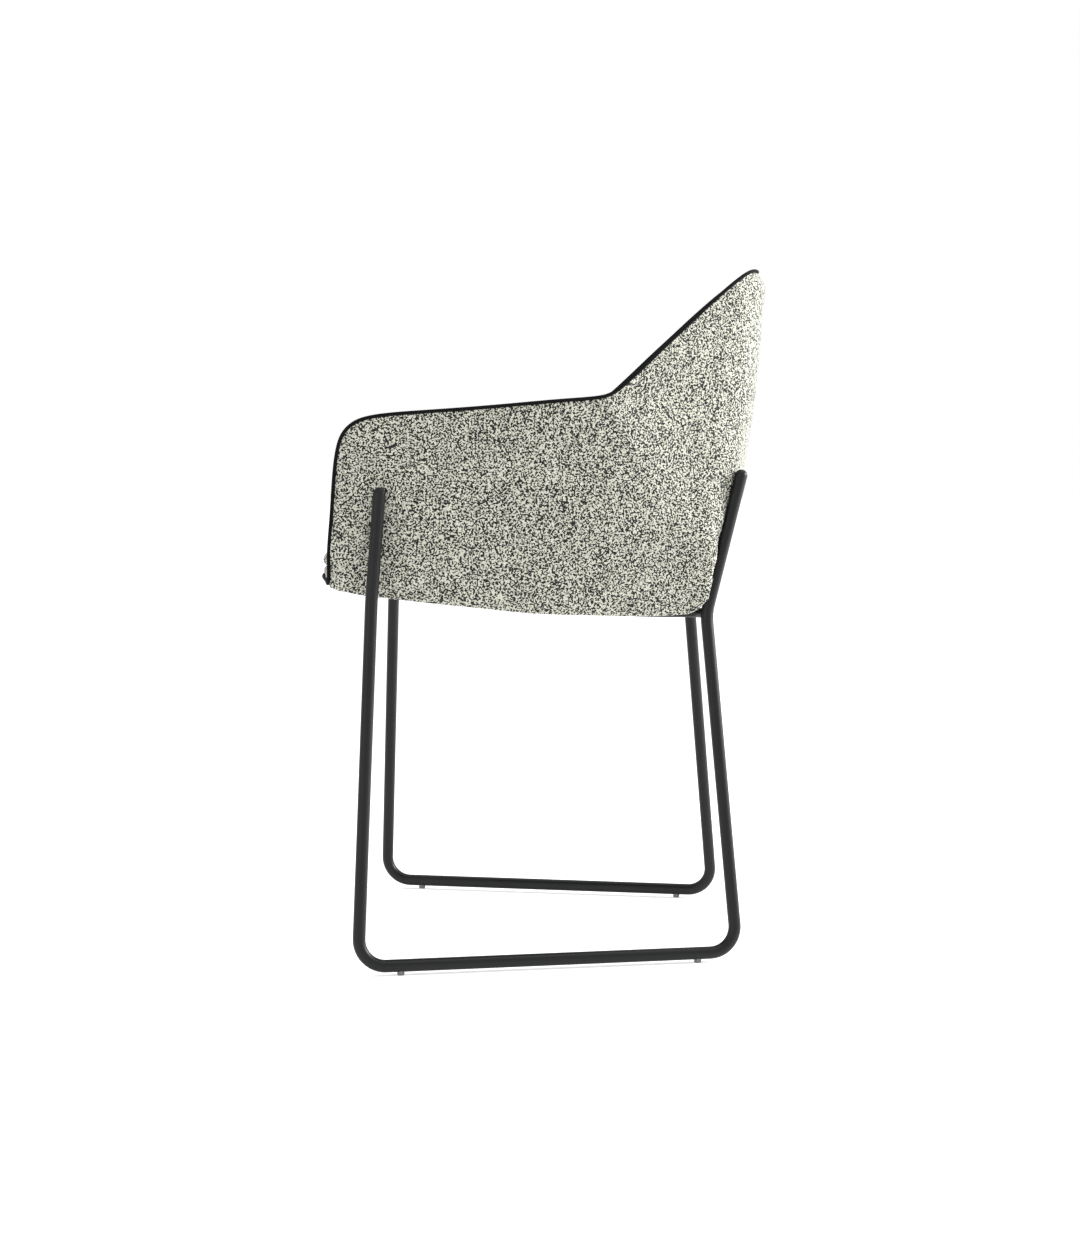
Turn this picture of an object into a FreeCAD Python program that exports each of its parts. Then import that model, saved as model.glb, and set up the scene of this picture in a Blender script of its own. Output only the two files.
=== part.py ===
import FreeCAD
import Part
import math
import os

V = FreeCAD.Vector

# ---------------------------------------------------------------- dimensions
# millimetres. +Z up, the sitter faces -Y, +X is the sitter's left.
Y_SHIFT = -14.3          # puts the origin under the middle of the overall box
TUBE_OD = 14.0           # side frame tube
TUBE_WALL = 2.0
RAIL_Z = 10.5            # height of the floor rail's centreline
BEND_R_FLOOR = 29.0      # centreline radius of the two floor bends
BEND_R_KINK_F = 90.0     # gentle bend at seat level, front leg
BEND_R_KINK_R = 60.0     # gentle bend at seat level, rear leg
CROSS_OD = 11.0          # U-shaped cross tube below the seat, welded to the rear kinks
CROSS_Z = 385.8
COVER_T = 3.0            # outer upholstery with its thin foam backing
PANEL_T = 8.0            # bent plywood panels
PAD_T = 24.0             # inner foam on the arms
BACK_PAD_T = 34.0        # inner foam on the back
GAP = 0.6                # play between neighbouring layers
PIPING_D = 4.2
BOARD_T = 12.0           # seat board
GLIDE_D = 8.0
BOLT_D = 6.0

# side frame centreline (left side), before Y_SHIFT
FRONT_TOP = (249.6, -164.6, 521.0)
FRONT_KINK = (255.5, -173.4, 403.0)
FRONT_FOOT = (312.0, -186.1, RAIL_Z)
REAR_FOOT = (217.8, 230.7, RAIL_Z)
REAR_KINK = (173.0, 198.0, 385.5)
REAR_TOP = (144.6, 238.6, 540.0)

# ------------------------------------------------------------------- helpers


def spline(ts, vs):
    """Natural cubic spline through (ts, vs); vs are numbers."""
    n = len(ts)
    if n == 2:
        return lambda t: vs[0] + (vs[1] - vs[0]) * (t - ts[0]) / (ts[1] - ts[0])
    h = [ts[i + 1] - ts[i] for i in range(n - 1)]
    a = [0.0] * n
    b = [1.0] * n
    c = [0.0] * n
    d = [0.0] * n
    for i in range(1, n - 1):
        a[i] = h[i - 1]
        b[i] = 2 * (h[i - 1] + h[i])
        c[i] = h[i]
        d[i] = 6 * ((vs[i + 1] - vs[i]) / h[i] - (vs[i] - vs[i - 1]) / h[i - 1])
    for i in range(1, n):
        w = a[i] / b[i - 1]
        b[i] -= w * c[i - 1]
        d[i] -= w * d[i - 1]
    m = [0.0] * n
    m[-1] = d[-1] / b[-1]
    for i in range(n - 2, -1, -1):
        m[i] = (d[i] - c[i] * m[i + 1]) / b[i]

    def f(t):
        k = 0
        while k < n - 2 and t > ts[k + 1]:
            k += 1
        x0, x1 = ts[k], ts[k + 1]
        hh = x1 - x0
        A = (x1 - t) / hh
        B = (t - x0) / hh
        return (A * vs[k] + B * vs[k + 1]
                + ((A ** 3 - A) * m[k] + (B ** 3 - B) * m[k + 1]) * hh * hh / 6)
    return f


def curve3(points, ts=None):
    """Smooth curve through 3-D points, parametrised 0..1 by chord length."""
    if ts is None:
        ts = [0.0]
        for p, q in zip(points, points[1:]):
            ts.append(ts[-1] + math.dist(p, q))
        ts = [t / ts[-1] for t in ts]
    fs = [spline(ts, [p[k] for p in points]) for k in range(3)]
    return lambda t: tuple(f(t) for f in fs)


def even(curve, n, dense=240):
    """n points evenly spaced along a curve given on 0..1."""
    pts = [curve(i / dense) for i in range(dense + 1)]
    s = [0.0]
    for p, q in zip(pts, pts[1:]):
        s.append(s[-1] + math.dist(p, q))
    out, k = [], 0
    for i in range(n):
        want = s[-1] * i / (n - 1)
        while k < dense - 1 and s[k + 1] < want:
            k += 1
        f = (want - s[k]) / max(s[k + 1] - s[k], 1e-9)
        out.append(tuple(a + (b - a) * f for a, b in zip(pts[k], pts[k + 1])))
    return out


def vec(p):
    return V(p[0], p[1] + Y_SHIFT, p[2])


def mirror(shape):
    return shape.mirror(V(0, 0, 0), V(1, 0, 0))


def slab(outer, inner):
    """Closed solid between two equal grids of points."""
    def face(grid):
        s = Part.BSplineSurface()
        s.interpolate([[vec(p) for p in row] for row in grid])
        return s.toShape()
    fo, fi = face(outer), face(inner)
    # boundary curves, taken from the surfaces themselves
    walls = []
    for eo in fo.Edges:
        mo = eo.valueAt((eo.FirstParameter + eo.LastParameter) / 2)
        best = min(fi.Edges, key=lambda e: e.valueAt((e.FirstParameter + e.LastParameter) / 2).distanceToPoint(mo))
        walls.append(Part.makeRuledSurface(eo, best))
    sh = Part.makeShell([fo, fi] + walls)
    sh.sewShape()
    solid = Part.makeSolid(sh)
    if solid.Volume < 0:
        solid.reverse()
    return solid


def tube_path(points, radii):
    """Wire of straight runs with tangent arcs at the inner points."""
    pts = [vec(p) for p in points]
    edges, start = [], pts[0]
    for i in range(1, len(pts) - 1):
        a, b, c = pts[i - 1], pts[i], pts[i + 1]
        d1 = (a - b).normalize()
        d2 = (c - b).normalize()
        half = d1.getAngle(d2) / 2
        t = radii[i - 1] / math.tan(half)
        p1, p2 = b + d1 * t, b + d2 * t
        centre = b + (d1 + d2).normalize() * (radii[i - 1] / math.sin(half))
        mid = centre + (b - centre).normalize() * radii[i - 1]
        edges.append(Part.LineSegment(start, p1).toShape())
        edges.append(Part.Arc(p1, mid, p2).toShape())
        start = p2
    edges.append(Part.LineSegment(start, pts[-1]).toShape())
    return Part.Wire(edges)


def sweep(path, radius):
    e0 = path.Edges[0]
    p0 = e0.valueAt(e0.FirstParameter)
    d0 = e0.tangentAt(e0.FirstParameter)
    prof = Part.Wire([Part.makeCircle(radius, p0, d0)])
    return path.makePipeShell([prof], True, True)


def cyl(p, d, r, length):
    return Part.makeCylinder(r, length, p, d)


def export(name, shape):
    shape.exportStep("parts/%s.step" % name)
    print("%-26s solids %d  volume %.1f cm3  valid %s" % (
        name, len(shape.Solids), shape.Volume / 1000.0, shape.isValid()))


os.makedirs("parts", exist_ok=True)
SOLIDS = {}


def keep(name, shape):
    SOLIDS[name] = shape


# ------------------------------------------------------------ shell geometry
# The rim is the line that the edge piping follows: up the arm's front edge,
# round the corner, along the arm, up the wing and across the top.
RIM_FRONT = [(230, -221.5, 424), (231.5, -221.6, 445), (235, -218.4, 493), (238.5, -214.7, 541),
             (240.8, -210.6, 570), (242.2, -206.6, 582.5), (243.0, -200.6, 591.5)]
RIM_ARM = [(243.0, -200.6, 591.5), (243.4, -190.6, 599.3), (243.6, -178.0, 603.8), (243.5, -158.6, 607.0),
           (242.8, -120.0, 610.2), (240.4, -80.0, 613.0), (236.8, -45.0, 615.8), (231.8, -5.0, 619.4),
           (223.8, 38.8, 623.3), (215.6, 72.0, 626.2), (213.0, 84.0, 628.4)]
RIM_WING = [(213.0, 84.0, 628.4), (208.4, 95.3, 633.9), (203.6, 107.7, 643.9), (197.6, 121.2, 656.4),
            (190.8, 134.8, 669.3), (180.6, 155.3, 688.8), (170.0, 175.9, 707.8), (159.2, 196.5, 727.0),
            (147.6, 217.3, 745.6), (134.0, 238.0, 762.6), (127.0, 245.6, 767.8)]
RIM_TOP = [(127.0, 245.6, 767.8), (115.0, 253.4, 771.3), (98.0, 258.6, 772.0), (50.0, 261.6, 773.4), (0.0, 262.6, 774.0)]
# bottom edge of the side panel, front to rear
BOTTOM = [(229.0, -221.0, 418.0), (231.5, -190.0, 410.5), (232.5, -150.0, 405.5), (231.5, -106.0, 400.5),
          (228.5, -53.0, 395.0), (222.5, -5.0, 389.6), (212.0, 50.0, 386.8), (197.5, 110.0, 384.6),
          (187.5, 145.0, 384.2), (176.5, 176.0, 385.8)]
# soft fold between the side panel and the back
FOLD = [(176.5, 176.0, 385.8), (181.0, 181.5, 398.0), (184.5, 177.5, 416.0), (189.0, 170.0, 447.0),
        (197.5, 149.5, 495.0), (204.5, 123.0, 546.0), (210.0, 99.0, 597.0), (213.0, 84.0, 628.4)]

bottom_c, arm_c = curve3(BOTTOM), curve3(RIM_ARM)
front_c, fold_c = curve3(RIM_FRONT), curve3(FOLD)


def side_point(f, g):
    """Outer face of the side panel. f runs front to rear, g bottom to rim."""
    b, r = bottom_c(f), arm_c(f)
    line = [b[k] + (r[k] - b[k]) * g for k in range(3)]
    b0, r0, b1, r1 = BOTTOM[0], RIM_ARM[0], FOLD[0], FOLD[-1]
    F, L = front_edge(g), fold_c(g)
    out = []
    for k in range(3):
        l0 = b0[k] + (r0[k] - b0[k]) * g
        l1 = b1[k] + (r1[k] - b1[k]) * g
        out.append(line[k] + (F[k] - l0) * (1 - f) ** 2.2 + (L[k] - l1) * f ** 1.7)
    # the panel is slightly crowned and tucks in along its bottom edge
    out[0] += 4.0 * math.sin(math.pi * f) * math.sin(math.pi * g) ** 1.0
    out[0] -= 3.0 * math.exp(-g / 0.035) * (1 if 0 <= f <= 1 else 0)
    return tuple(out)


front_c2 = curve3([BOTTOM[0]] + RIM_FRONT[1:])


def front_edge(g):
    return front_c2(g)


# back rows: plan curve at each height, from the fold or wing edge to the centre
BACK_ROWS = [
    [(176.5, 176.0, 385.8), (177.0, 180.0, 386.4), (176.2, 184.3, 388.0), (173.6, 188.0, 390.6), (168.0, 189.6, 392.8), (150.0, 190.0, 393.6), (80.0, 188.5, 394.0), (0.0, 187.0, 394.0)],
    [(181.0, 181.5, 398.0), (180.6, 187.0, 398.6), (179.2, 192.6, 399.4), (176.0, 196.2, 400.2), (169.6, 193.8, 400.8), (150.0, 195.5, 401.0), (80.0, 199.0, 401.0), (0.0, 201.0, 401.0)],
    [(184.5, 177.5, 416.0), (183.6, 188.0, 416.0), (181.2, 197.8, 416.0), (176.8, 203.2, 416.0), (168.0, 198.4, 416.0), (150.0, 200.5, 416.0), (80.0, 206.5, 416.0), (0.0, 209.5, 416.0)],
    [(189.0, 170.0, 447.0), (187.0, 186.0, 447.0), (182.6, 200.8, 447.0), (176.4, 209.4, 447.0), (164.0, 206.8, 447.0), (140.0, 209.5, 447.0), (80.0, 215.2, 447.0), (0.0, 218.5, 447.0)],
    [(197.5, 149.5, 495.0), (186.0, 176.0, 495.0), (174.0, 201.0, 495.0), (164.0, 215.2, 495.0), (150.0, 219.4, 495.0), (125.0, 225.6, 495.0), (70.0, 233.6, 495.0), (0.0, 237.5, 495.0)],
    [(204.5, 123.0, 546.0), (184.5, 160.0, 546.0), (166.5, 195.0, 546.0), (151.5, 221.5, 546.0), (134.5, 235.5, 546.0), (106.0, 240.8, 546.0), (60.0, 247.2, 546.0), (0.0, 251.0, 546.0)],
    [(210.3, 97.6, 600.0), (184.0, 144.0, 600.0), (161.0, 186.0, 600.0), (141.0, 220.5, 600.0), (122.0, 241.0, 600.0), (95.0, 251.5, 600.0), (50.0, 257.5, 600.0), (0.0, 259.6, 600.0)],
    [(213.0, 84.0, 628.4), (185.0, 135.0, 628.4), (159.5, 182.0, 628.4), (137.5, 221.0, 628.4), (119.5, 243.0, 628.4), (94.0, 255.0, 628.4), (50.0, 261.0, 628.4), (0.0, 263.0, 628.4)],
    [(195.7, 125.1, 660.0), (175.0, 163.0, 660.0), (154.0, 200.0, 660.0), (134.0, 231.5, 660.0), (117.0, 248.0, 660.0), (93.0, 258.8, 660.0), (50.0, 264.6, 660.0), (0.0, 266.6, 660.0)],
    [(174.4, 167.4, 700.0), (159.0, 196.0, 700.0), (144.0, 222.0, 700.0), (129.0, 242.0, 700.0), (113.5, 253.6, 700.0), (91.0, 262.5, 700.0), (50.0, 267.6, 700.0), (0.0, 269.6, 700.0)],
    [(154.3, 205.4, 735.0), (144.5, 223.0, 735.0), (134.0, 239.0, 735.0), (122.5, 250.5, 735.0), (109.0, 258.6, 735.0), (88.0, 265.8, 735.0), (50.0, 270.4, 735.0), (0.0, 272.4, 735.0)],
    [(138.6, 231.2, 757.0), (132.5, 239.4, 757.5), (124.5, 247.4, 758.0), (115.0, 254.0, 758.6), (103.0, 261.0, 759.2), (85.0, 266.6, 760.0), (48.0, 271.4, 761.0), (0.0, 273.6, 761.5)],
    [(127.0, 245.6, 767.8), (121.4, 249.6, 769.9), (115.0, 253.4, 771.3), (107.0, 256.5, 771.9), (98.0, 258.6, 772.0), (80.0, 260.4, 772.6), (45.0, 261.9, 773.6), (0.0, 262.6, 774.0)],
]


# how far each row runs on in front of the wing's edge, before the wing is trimmed to its outline
RUN_ON = [0, 0, 0, 0, 0, 0, 0, 2.0, 46.0, 50.0, 46.0, 42.0, 40.0]


def back_grid(ncol, nrow):
    """Rows of evenly spaced points from side to side, bottom row first."""
    rows = []
    for pts, more in zip(BACK_ROWS, RUN_ON):
        if more:
            a, b = pts[1], pts[0]
            dx, dy = (b[0] - a[0], b[1] - a[1]) if pts[0][2] < 750 else (9.8, -17.6)
            n = math.hypot(dx, dy)
            first = (b[0] + dx / n * more, b[1] + dy / n * more, b[2])
            pts = ([first] if more > 10 else []) + ([first] if more <= 10 else [b]) + pts[1:]
        full = pts + [(-p[0], p[1], p[2]) for p in reversed(pts[:-1])]
        rows.append(even(curve3(full), ncol))
    cols = [even(curve3([r[i] for r in rows]), nrow) for i in range(ncol)]
    return [[cols[i][j] for i in range(ncol)] for j in range(nrow)]


def relax(grid, along_rows, along_cols):
    """Evens out the inner points; the outline stays."""
    nr, nc = len(grid), len(grid[0])
    for _ in range(along_rows):
        grid = [[row[i] if i in (0, nc - 1) else tuple((row[i - 1][k] + 2 * row[i][k] + row[i + 1][k]) / 4 for k in range(3))
                 for i in range(nc)] for row in grid]
    for _ in range(along_cols):
        grid = [[grid[j][i] if j in (0, nr - 1) or i in (0, nc - 1) else
                 tuple((grid[j - 1][i][k] + 2 * grid[j][i][k] + grid[j + 1][i][k]) / 4 for k in range(3))
                 for i in range(nc)] for j in range(nr)]
    return grid


def side_grid(nf, ng, f0=0.0, f1=1.0, g0=0.0, g1=1.0):
    """Rows run front to rear, one row per height."""
    rows = []
    for j in range(ng):
        g = g0 + (g1 - g0) * (j / (ng - 1)) ** 1.35   # closer rows at the tucked bottom edge
        rows.append([side_point(f0 + (f1 - f0) * i / (nf - 1), g) for i in range(nf)])
    return rows


def normals(grid):
    nr, nc = len(grid), len(grid[0])
    out = []
    for j in range(nr):
        row = []
        for i in range(nc):
            a, b = grid[j][max(i - 1, 0)], grid[j][min(i + 1, nc - 1)]
            c, d = grid[max(j - 1, 0)][i], grid[min(j + 1, nr - 1)][i]
            e1 = V(*(q - p for p, q in zip(a, b)))
            e2 = V(*(q - p for p, q in zip(c, d)))
            n = e1.cross(e2)
            n.normalize()
            row.append(n)
        out.append(row)
    return out


def offset(grid, d, nrm):
    """Moves each point d along -normal (towards the inside of the chair)."""
    return [[tuple(p[k] - nrm[j][i][k] * (d[j][i] if isinstance(d, list) else d) for k in range(3))
             for i, p in enumerate(row)] for j, row in enumerate(grid)]


def inward(nrm, grid):
    """Makes every normal point away from the chair's middle axis."""
    for j, row in enumerate(nrm):
        for i, n in enumerate(row):
            p = grid[j][i]
            if n.x * p[0] + n.y * (p[1] - 0.0) < 0:
                nrm[j][i] = n * -1
    return nrm


def blend_fold(nrm, at_start, at_end):
    """Both panels lean on one mitre direction where they meet at a fold."""
    a = math.radians(20.0)
    w = (1.0, 0.6, 0.25)
    for row in nrm:
        n = len(row)
        for k, f in enumerate(w):
            if at_start:
                m = V(math.cos(a), math.sin(a), 0)
                row[k] = (row[k] * (1 - f) + m * f).normalize()
            if at_end:
                sx = 1.0 if at_end == "left" else -1.0
                m = V(sx * math.cos(a), math.sin(a), 0)
                row[n - 1 - k] = (row[n - 1 - k] * (1 - f) + m * f).normalize()
    return nrm


def smooth_rows(nrm, passes):
    for _ in range(passes):
        new = []
        for row in nrm:
            r = list(row)
            for i in range(1, len(row) - 1):
                r[i] = (row[i - 1] + row[i] * 2 + row[i + 1]).normalize()
            new.append(r)
        nrm = new
    return nrm


def trim(grid, left=0.0, right=0.0, bottom=0.0, top=0.0):
    """Pulls the grid's edges in by a distance along the surface.
    left and right may be functions of height."""
    def cut(pts, a, b):
        s = [0.0]
        for p, q in zip(pts, pts[1:]):
            s.append(s[-1] + math.dist(p, q))
        c = curve3(pts, [x / s[-1] for x in s])
        n = len(pts)
        return [c((a + (s[-1] - a - b) * s[i] / s[-1]) / s[-1]) for i in range(n)]

    def val(x, z):
        return x(z) if callable(x) else x
    rows = [cut(r, val(left, r[0][2]), val(right, r[-1][2])) for r in grid]
    cols = list(zip(*rows))
    cols = [cut(list(c), bottom[i] if isinstance(bottom, list) else bottom, top) for i, c in enumerate(cols)]
    return [list(r) for r in zip(*cols)]


# ----------------------------------------------------------- side frames
path_l = tube_path([FRONT_TOP, FRONT_KINK, FRONT_FOOT, REAR_FOOT, REAR_KINK, REAR_TOP],
                   [BEND_R_KINK_F, BEND_R_FLOOR, BEND_R_FLOOR, BEND_R_KINK_R])
frame_outer = sweep(path_l, TUBE_OD / 2)
frame_inner = sweep(path_l, TUBE_OD / 2 - TUBE_WALL)
frame = frame_outer.cut(frame_inner)

# glide places on the rail: share of the run between the two floor corners
rail_a, rail_b = vec(FRONT_FOOT), vec(REAR_FOOT)


def on_rail(y):
    f = (y - FRONT_FOOT[1]) / (REAR_FOOT[1] - FRONT_FOOT[1])
    return rail_a + (rail_b - rail_a) * f


GLIDE_AT = {"front": on_rail(-140.3), "rear": on_rail(186.3)}
for p in GLIDE_AT.values():
    frame = frame.cut(cyl(V(p.x, p.y, -1), V(0, 0, 1), 2.5, RAIL_Z))

# domed plugs that close the four tube ends
plugs = []
for end, nxt in ((FRONT_TOP, FRONT_KINK), (REAR_TOP, REAR_KINK)):
    e, k = vec(end), vec(nxt)
    d = (e - k).normalize()
    dome = Part.makeSphere(TUBE_OD / 2, e)
    dome = dome.common(cyl(e, d, TUBE_OD, TUBE_OD))
    spigot = cyl(e - d * 8, d, TUBE_OD / 2 - TUBE_WALL - 0.05, 8.5)
    plugs.append(dome.fuse(spigot).removeSplitter())
keep("tube_end_domes", Part.makeCompound(plugs + [mirror(s) for s in plugs]))

# fixing bosses, bolts and washers at the four tube tops
N_SIDE = V(-1, 0, 0)
N_REAR = V(-0.60, -0.80, 0).normalize()


def on_run(a, b, z):
    f = (z - a[2]) / (b[2] - a[2])
    return vec(tuple(a[k] + (b[k] - a[k]) * f for k in range(3)))


FIXES = [(on_run(FRONT_KINK, FRONT_TOP, 507.0), N_SIDE, 14.6),
         (on_run(FRONT_KINK, FRONT_TOP, 471.0), N_SIDE, 18.0),
         (on_run(REAR_KINK, REAR_TOP, 524.0), N_REAR, 13.6),
         (on_run(REAR_KINK, REAR_TOP, 488.0), N_REAR, 13.6)]

# outer skin, panel and foam grids of the left side
NF, NG = 17, 13
side = side_grid(NF, NG)
side_n = blend_fold(inward(normals(side), side), False, "left")


def away(p, line):
    return min(math.dist(p, q) for q in line)


def ease(x):
    x = max(0.0, min(1.0, x))
    return x * x * (3 - 2 * x)


def layer(grid, nrm, d0, d1, **t):
    g = trim(grid, **t)
    return slab(offset(g, d0, nrm), offset(g, d1, nrm))


def foam(grid, nrm, d0, depth, outer_trim, inner_trim):
    """Padding whose edge slants back from the rim. depth gives its thickness at a point."""
    g0, g1 = trim(grid, **outer_trim), trim(grid, **inner_trim)
    return slab(offset(g0, d0, nrm), offset(g1, [[d0 + depth(p) for p in row] for row in g1], nrm))


D1 = COVER_T + GAP
D2 = D1 + PANEL_T
D3 = D2 + GAP
RIM_L = [curve3(RIM_FRONT)(i / 30) for i in range(31)] + [curve3(RIM_ARM)(i / 40) for i in range(41)]
WING_L = [curve3(RIM_WING)(i / 30) for i in range(31)] + [curve3(RIM_TOP)(i / 20) for i in range(21)]
FOLD_L = [curve3(FOLD)(i / 30) for i in range(31)]
WING_L += [(-p[0], p[1], p[2]) for p in WING_L]
FOLD_L += [(-p[0], p[1], p[2]) for p in FOLD_L]


def arm_depth(p):
    return PAD_T * (0.55 + 0.45 * ease(away(p, RIM_L) / 55))


def back_depth(p):
    full = PAD_T + (BACK_PAD_T - PAD_T) * ease(away(p, FOLD_L) / 70)
    return 12.0 + (full - 12.0) * ease(away(p, WING_L) / 75)


cover_side = layer(side, side_n, 0.0, COVER_T, left=3.0, right=0.9, bottom=0.0, top=3.0)
panel_side = layer(side, side_n, D1, D2, left=7.0, right=3.0, bottom=10.0, top=7.0)


def clear_board(y):
    """Distance from the side panel's bottom edge up to the foam, which starts above the seat board."""
    return 11.5 + 16.5 * ease((y + 225.0) / 190.0)


foam_bottom = [clear_board(p[1]) for p in side[0]]
pad_side = foam(side, side_n, D3 + 0.6, arm_depth, dict(left=3.6, right=3.6, bottom=foam_bottom, top=4.2),
                dict(left=9.0, right=3.6, bottom=foam_bottom, top=11.0))

# back: from fold to fold
NB, NR = 45, 23
back = relax(back_grid(NB, NR), 0, 1)


def symmetric(nrm):
    for row in nrm:
        n = len(row)
        for k in range(n // 2):
            row[n - 1 - k] = V(-row[k].x, row[k].y, row[k].z)
        row[n // 2] = V(0, row[n // 2].y, row[n // 2].z).normalize()
    return nrm


back_n = symmetric(blend_fold(inward(normals(back), back), "left", False))
core = relax(back, 10, 1)     # rounder line for what lies under the cover
core_n = symmetric(blend_fold(smooth_rows(inward(normals(core), core), 2), "left", False))
core_ns = symmetric(smooth_rows(core_n, 30))


def above_rim(t):
    """Everything above the outline of arm, wing and top in side view, from t mm below that outline."""
    line = [(p[1], p[2]) for p in RIM_ARM[6:] + RIM_WING[1:] + RIM_TOP[1:]]
    kept = [line[0]]
    for q in line[1:]:
        if math.dist(q, kept[-1]) > 7.0:
            kept.append(q)
    pts = []
    for i, q in enumerate(kept):
        a, b = kept[max(i - 1, 0)], kept[min(i + 1, len(kept) - 1)]
        n = math.dist(a, b)
        pts.append(V(-400, q[0] + (b[1] - a[1]) / n * t + Y_SHIFT, q[1] - (b[0] - a[0]) / n * t))
    c = Part.BSplineCurve()
    c.interpolate(pts)
    first, last = pts[0], pts[-1]
    corners = [last, V(-400, 400, last.z), V(-400, 400, 900), V(-400, first.y, 900), first]
    wire = Part.Wire([c.toShape()] + [Part.LineSegment(a, b).toShape() for a, b in zip(corners, corners[1:])])
    return Part.Face(wire).extrude(V(800, 0, 0))


def trimmed(solid, t):
    return sorted(solid.cut(above_rim(t)).Solids, key=lambda x: -x.Volume)[0]


cover_back = trimmed(layer(back, back_n, 0.0, COVER_T, left=0.9, right=0.9), 2.6)
cover_back = cover_back.cut(sweep(path_l, TUBE_OD / 2 + 0.35)).cut(mirror(sweep(path_l, TUBE_OD / 2 + 0.35)))
cover_back = sorted(cover_back.Solids, key=lambda x: -x.Volume)[0]
panel_back = trimmed(layer(core[1:], core_n[1:], D1 + 1.5, D2 + 1.5, left=3.0, right=3.0, bottom=4.0), 7.0)
pad_back = trimmed(foam(core[2:], core_ns[2:], D3 + 2.7, back_depth, dict(left=3.6, right=3.6), dict(left=3.6, right=3.6)), 4.6)

bosses, bolts, washers = [], [], []
for p, d, reach in FIXES:
    tip = p + d * (TUBE_OD / 2 - 1.5)
    boss = cyl(p, d, 6.0, 60).cut(frame_outer)
    # the boss ends on the panel's outer face
    solid_panel = panel_side if d == N_SIDE else panel_back
    boss = boss.cut(solid_panel)
    pieces = sorted(boss.Solids, key=lambda s: s.CenterOfMass.distanceToPoint(p))
    boss = pieces[0].cut(cyl(p, d, 2.95, 60))
    # depth of the panel's inner face along the bolt
    ray = Part.makeLine(p, p + d * 60).common(solid_panel)
    far = max(v.Point.distanceToPoint(p) for v in ray.Vertexes)
    near = min(v.Point.distanceToPoint(p) for v in ray.Vertexes)
    print("fixing: panel from %.1f to %.1f mm off the tube's axis" % (near, far))
    bosses.append(boss)
    washers.append(cyl(p + d * (far + 0.9), d, 9.0, 1.6).cut(cyl(p, d, 3.2, 60)))
    head = cyl(p + d * (far + 2.5), d, 5.5, 3.3)
    hexs = Part.makePolygon([V(2.3 * math.cos(math.radians(60 * k)), 2.3 * math.sin(math.radians(60 * k)), 0) for k in range(7)])
    socket = Part.Face(hexs).extrude(V(0, 0, 2.2))
    socket.Placement = FreeCAD.Placement(p + d * (far + 3.7), FreeCAD.Rotation(V(0, 0, 1), d))
    shank = cyl(p + d * (TUBE_OD / 2 - TUBE_WALL - 2.0), d, 2.9, far + 2.5 - (TUBE_OD / 2 - TUBE_WALL - 2.0))
    bolts.append(shank.fuse(head.cut(socket)).removeSplitter())
    hole = cyl(p, d, 6.35, far - 1.0)
    cover_side = cover_side.cut(hole)
    cover_back = cover_back.cut(hole).cut(mirror(hole))
    shaft = cyl(p, d, 3.3, far + 4.0).fuse(cyl(p + d * (far + 0.7), d, 9.5, 12.0))   # hole and spot face
    panel_side = panel_side.cut(shaft)
    panel_back = panel_back.cut(shaft).cut(mirror(shaft))
    pocket = cyl(p + d * (far - 3.0), d, 10.5, 10.5)
    pad_side = pad_side.cut(pocket)
    pad_back = pad_back.cut(pocket).cut(mirror(pocket))
    frame = frame.cut(cyl(p, d, 3.3, TUBE_OD))

keep("left_side_frame", frame)
keep("right_side_frame", mirror(frame))
keep("fixing_bosses", Part.makeCompound(bosses + [mirror(s) for s in bosses]))
keep("frame_bolts", Part.makeCompound(bolts + [mirror(s) for s in bolts]))
keep("frame_bolt_washers", Part.makeCompound(washers + [mirror(s) for s in washers]))

# glides: turned foot under the rail with a stem pressed up into the tube
for end, p in GLIDE_AT.items():
    pad = cyl(V(p.x, p.y, 0), V(0, 0, 1), GLIDE_D / 2, 5.5)
    pad = pad.makeChamfer(0.6, [e for e in pad.Edges if abs(e.BoundBox.ZMax) < 1e-6])
    pad = pad.cut(frame_outer)
    pad = sorted(pad.Solids, key=lambda s: s.CenterOfMass.z)[0]
    stem = cyl(V(p.x, p.y, 2.0), V(0, 0, 1), 2.45, 6.8)
    glide = pad.fuse(stem).removeSplitter()
    keep("%s_left_glide" % end, glide)
    keep("%s_right_glide" % end, mirror(glide))

# ------------------------------------------------ cross tube below the seat
cross_path = tube_path([(173.0, 198.0, 385.6), (157.0, 188.0, CROSS_Z), (153.0, 112.0, CROSS_Z), (-153.0, 112.0, CROSS_Z),
                        (-157.0, 188.0, CROSS_Z), (-173.0, 198.0, 385.6)], [12.0, 34.0, 34.0, 12.0])
cross = sweep(cross_path, CROSS_OD / 2).cut(sweep(cross_path, CROSS_OD / 2 - 1.5))
cross = cross.cut(frame_outer).cut(mirror(frame_outer))
cross = sorted(cross.Solids, key=lambda s: -s.Volume)[0]
keep("rear_cross_tube", cross)

# --------------------------------------------------- seat board and below
SLOPE = -0.05


def board_z(y):
    """Underside of the seat board."""
    return 403.5 + SLOPE * y


def tilted(points, z0, thick):
    """Prism over a plan outline, lying on the seat's slope. z0 is its underside at y 0, before the shift."""
    wire = Part.makePolygon([V(x, y, z0 + SLOPE * y) for x, y in points] + [V(points[0][0], points[0][1], z0 + SLOPE * points[0][1])])
    s = Part.Face(wire).extrude(V(0, 0, thick))
    s.translate(V(0, Y_SHIFT, 0))
    return s


def both(half):
    """Closed outline from its left half, front centre to rear centre."""
    return half + [(-x, y) for x, y in reversed(half) if abs(x) > 1e-6]


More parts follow.
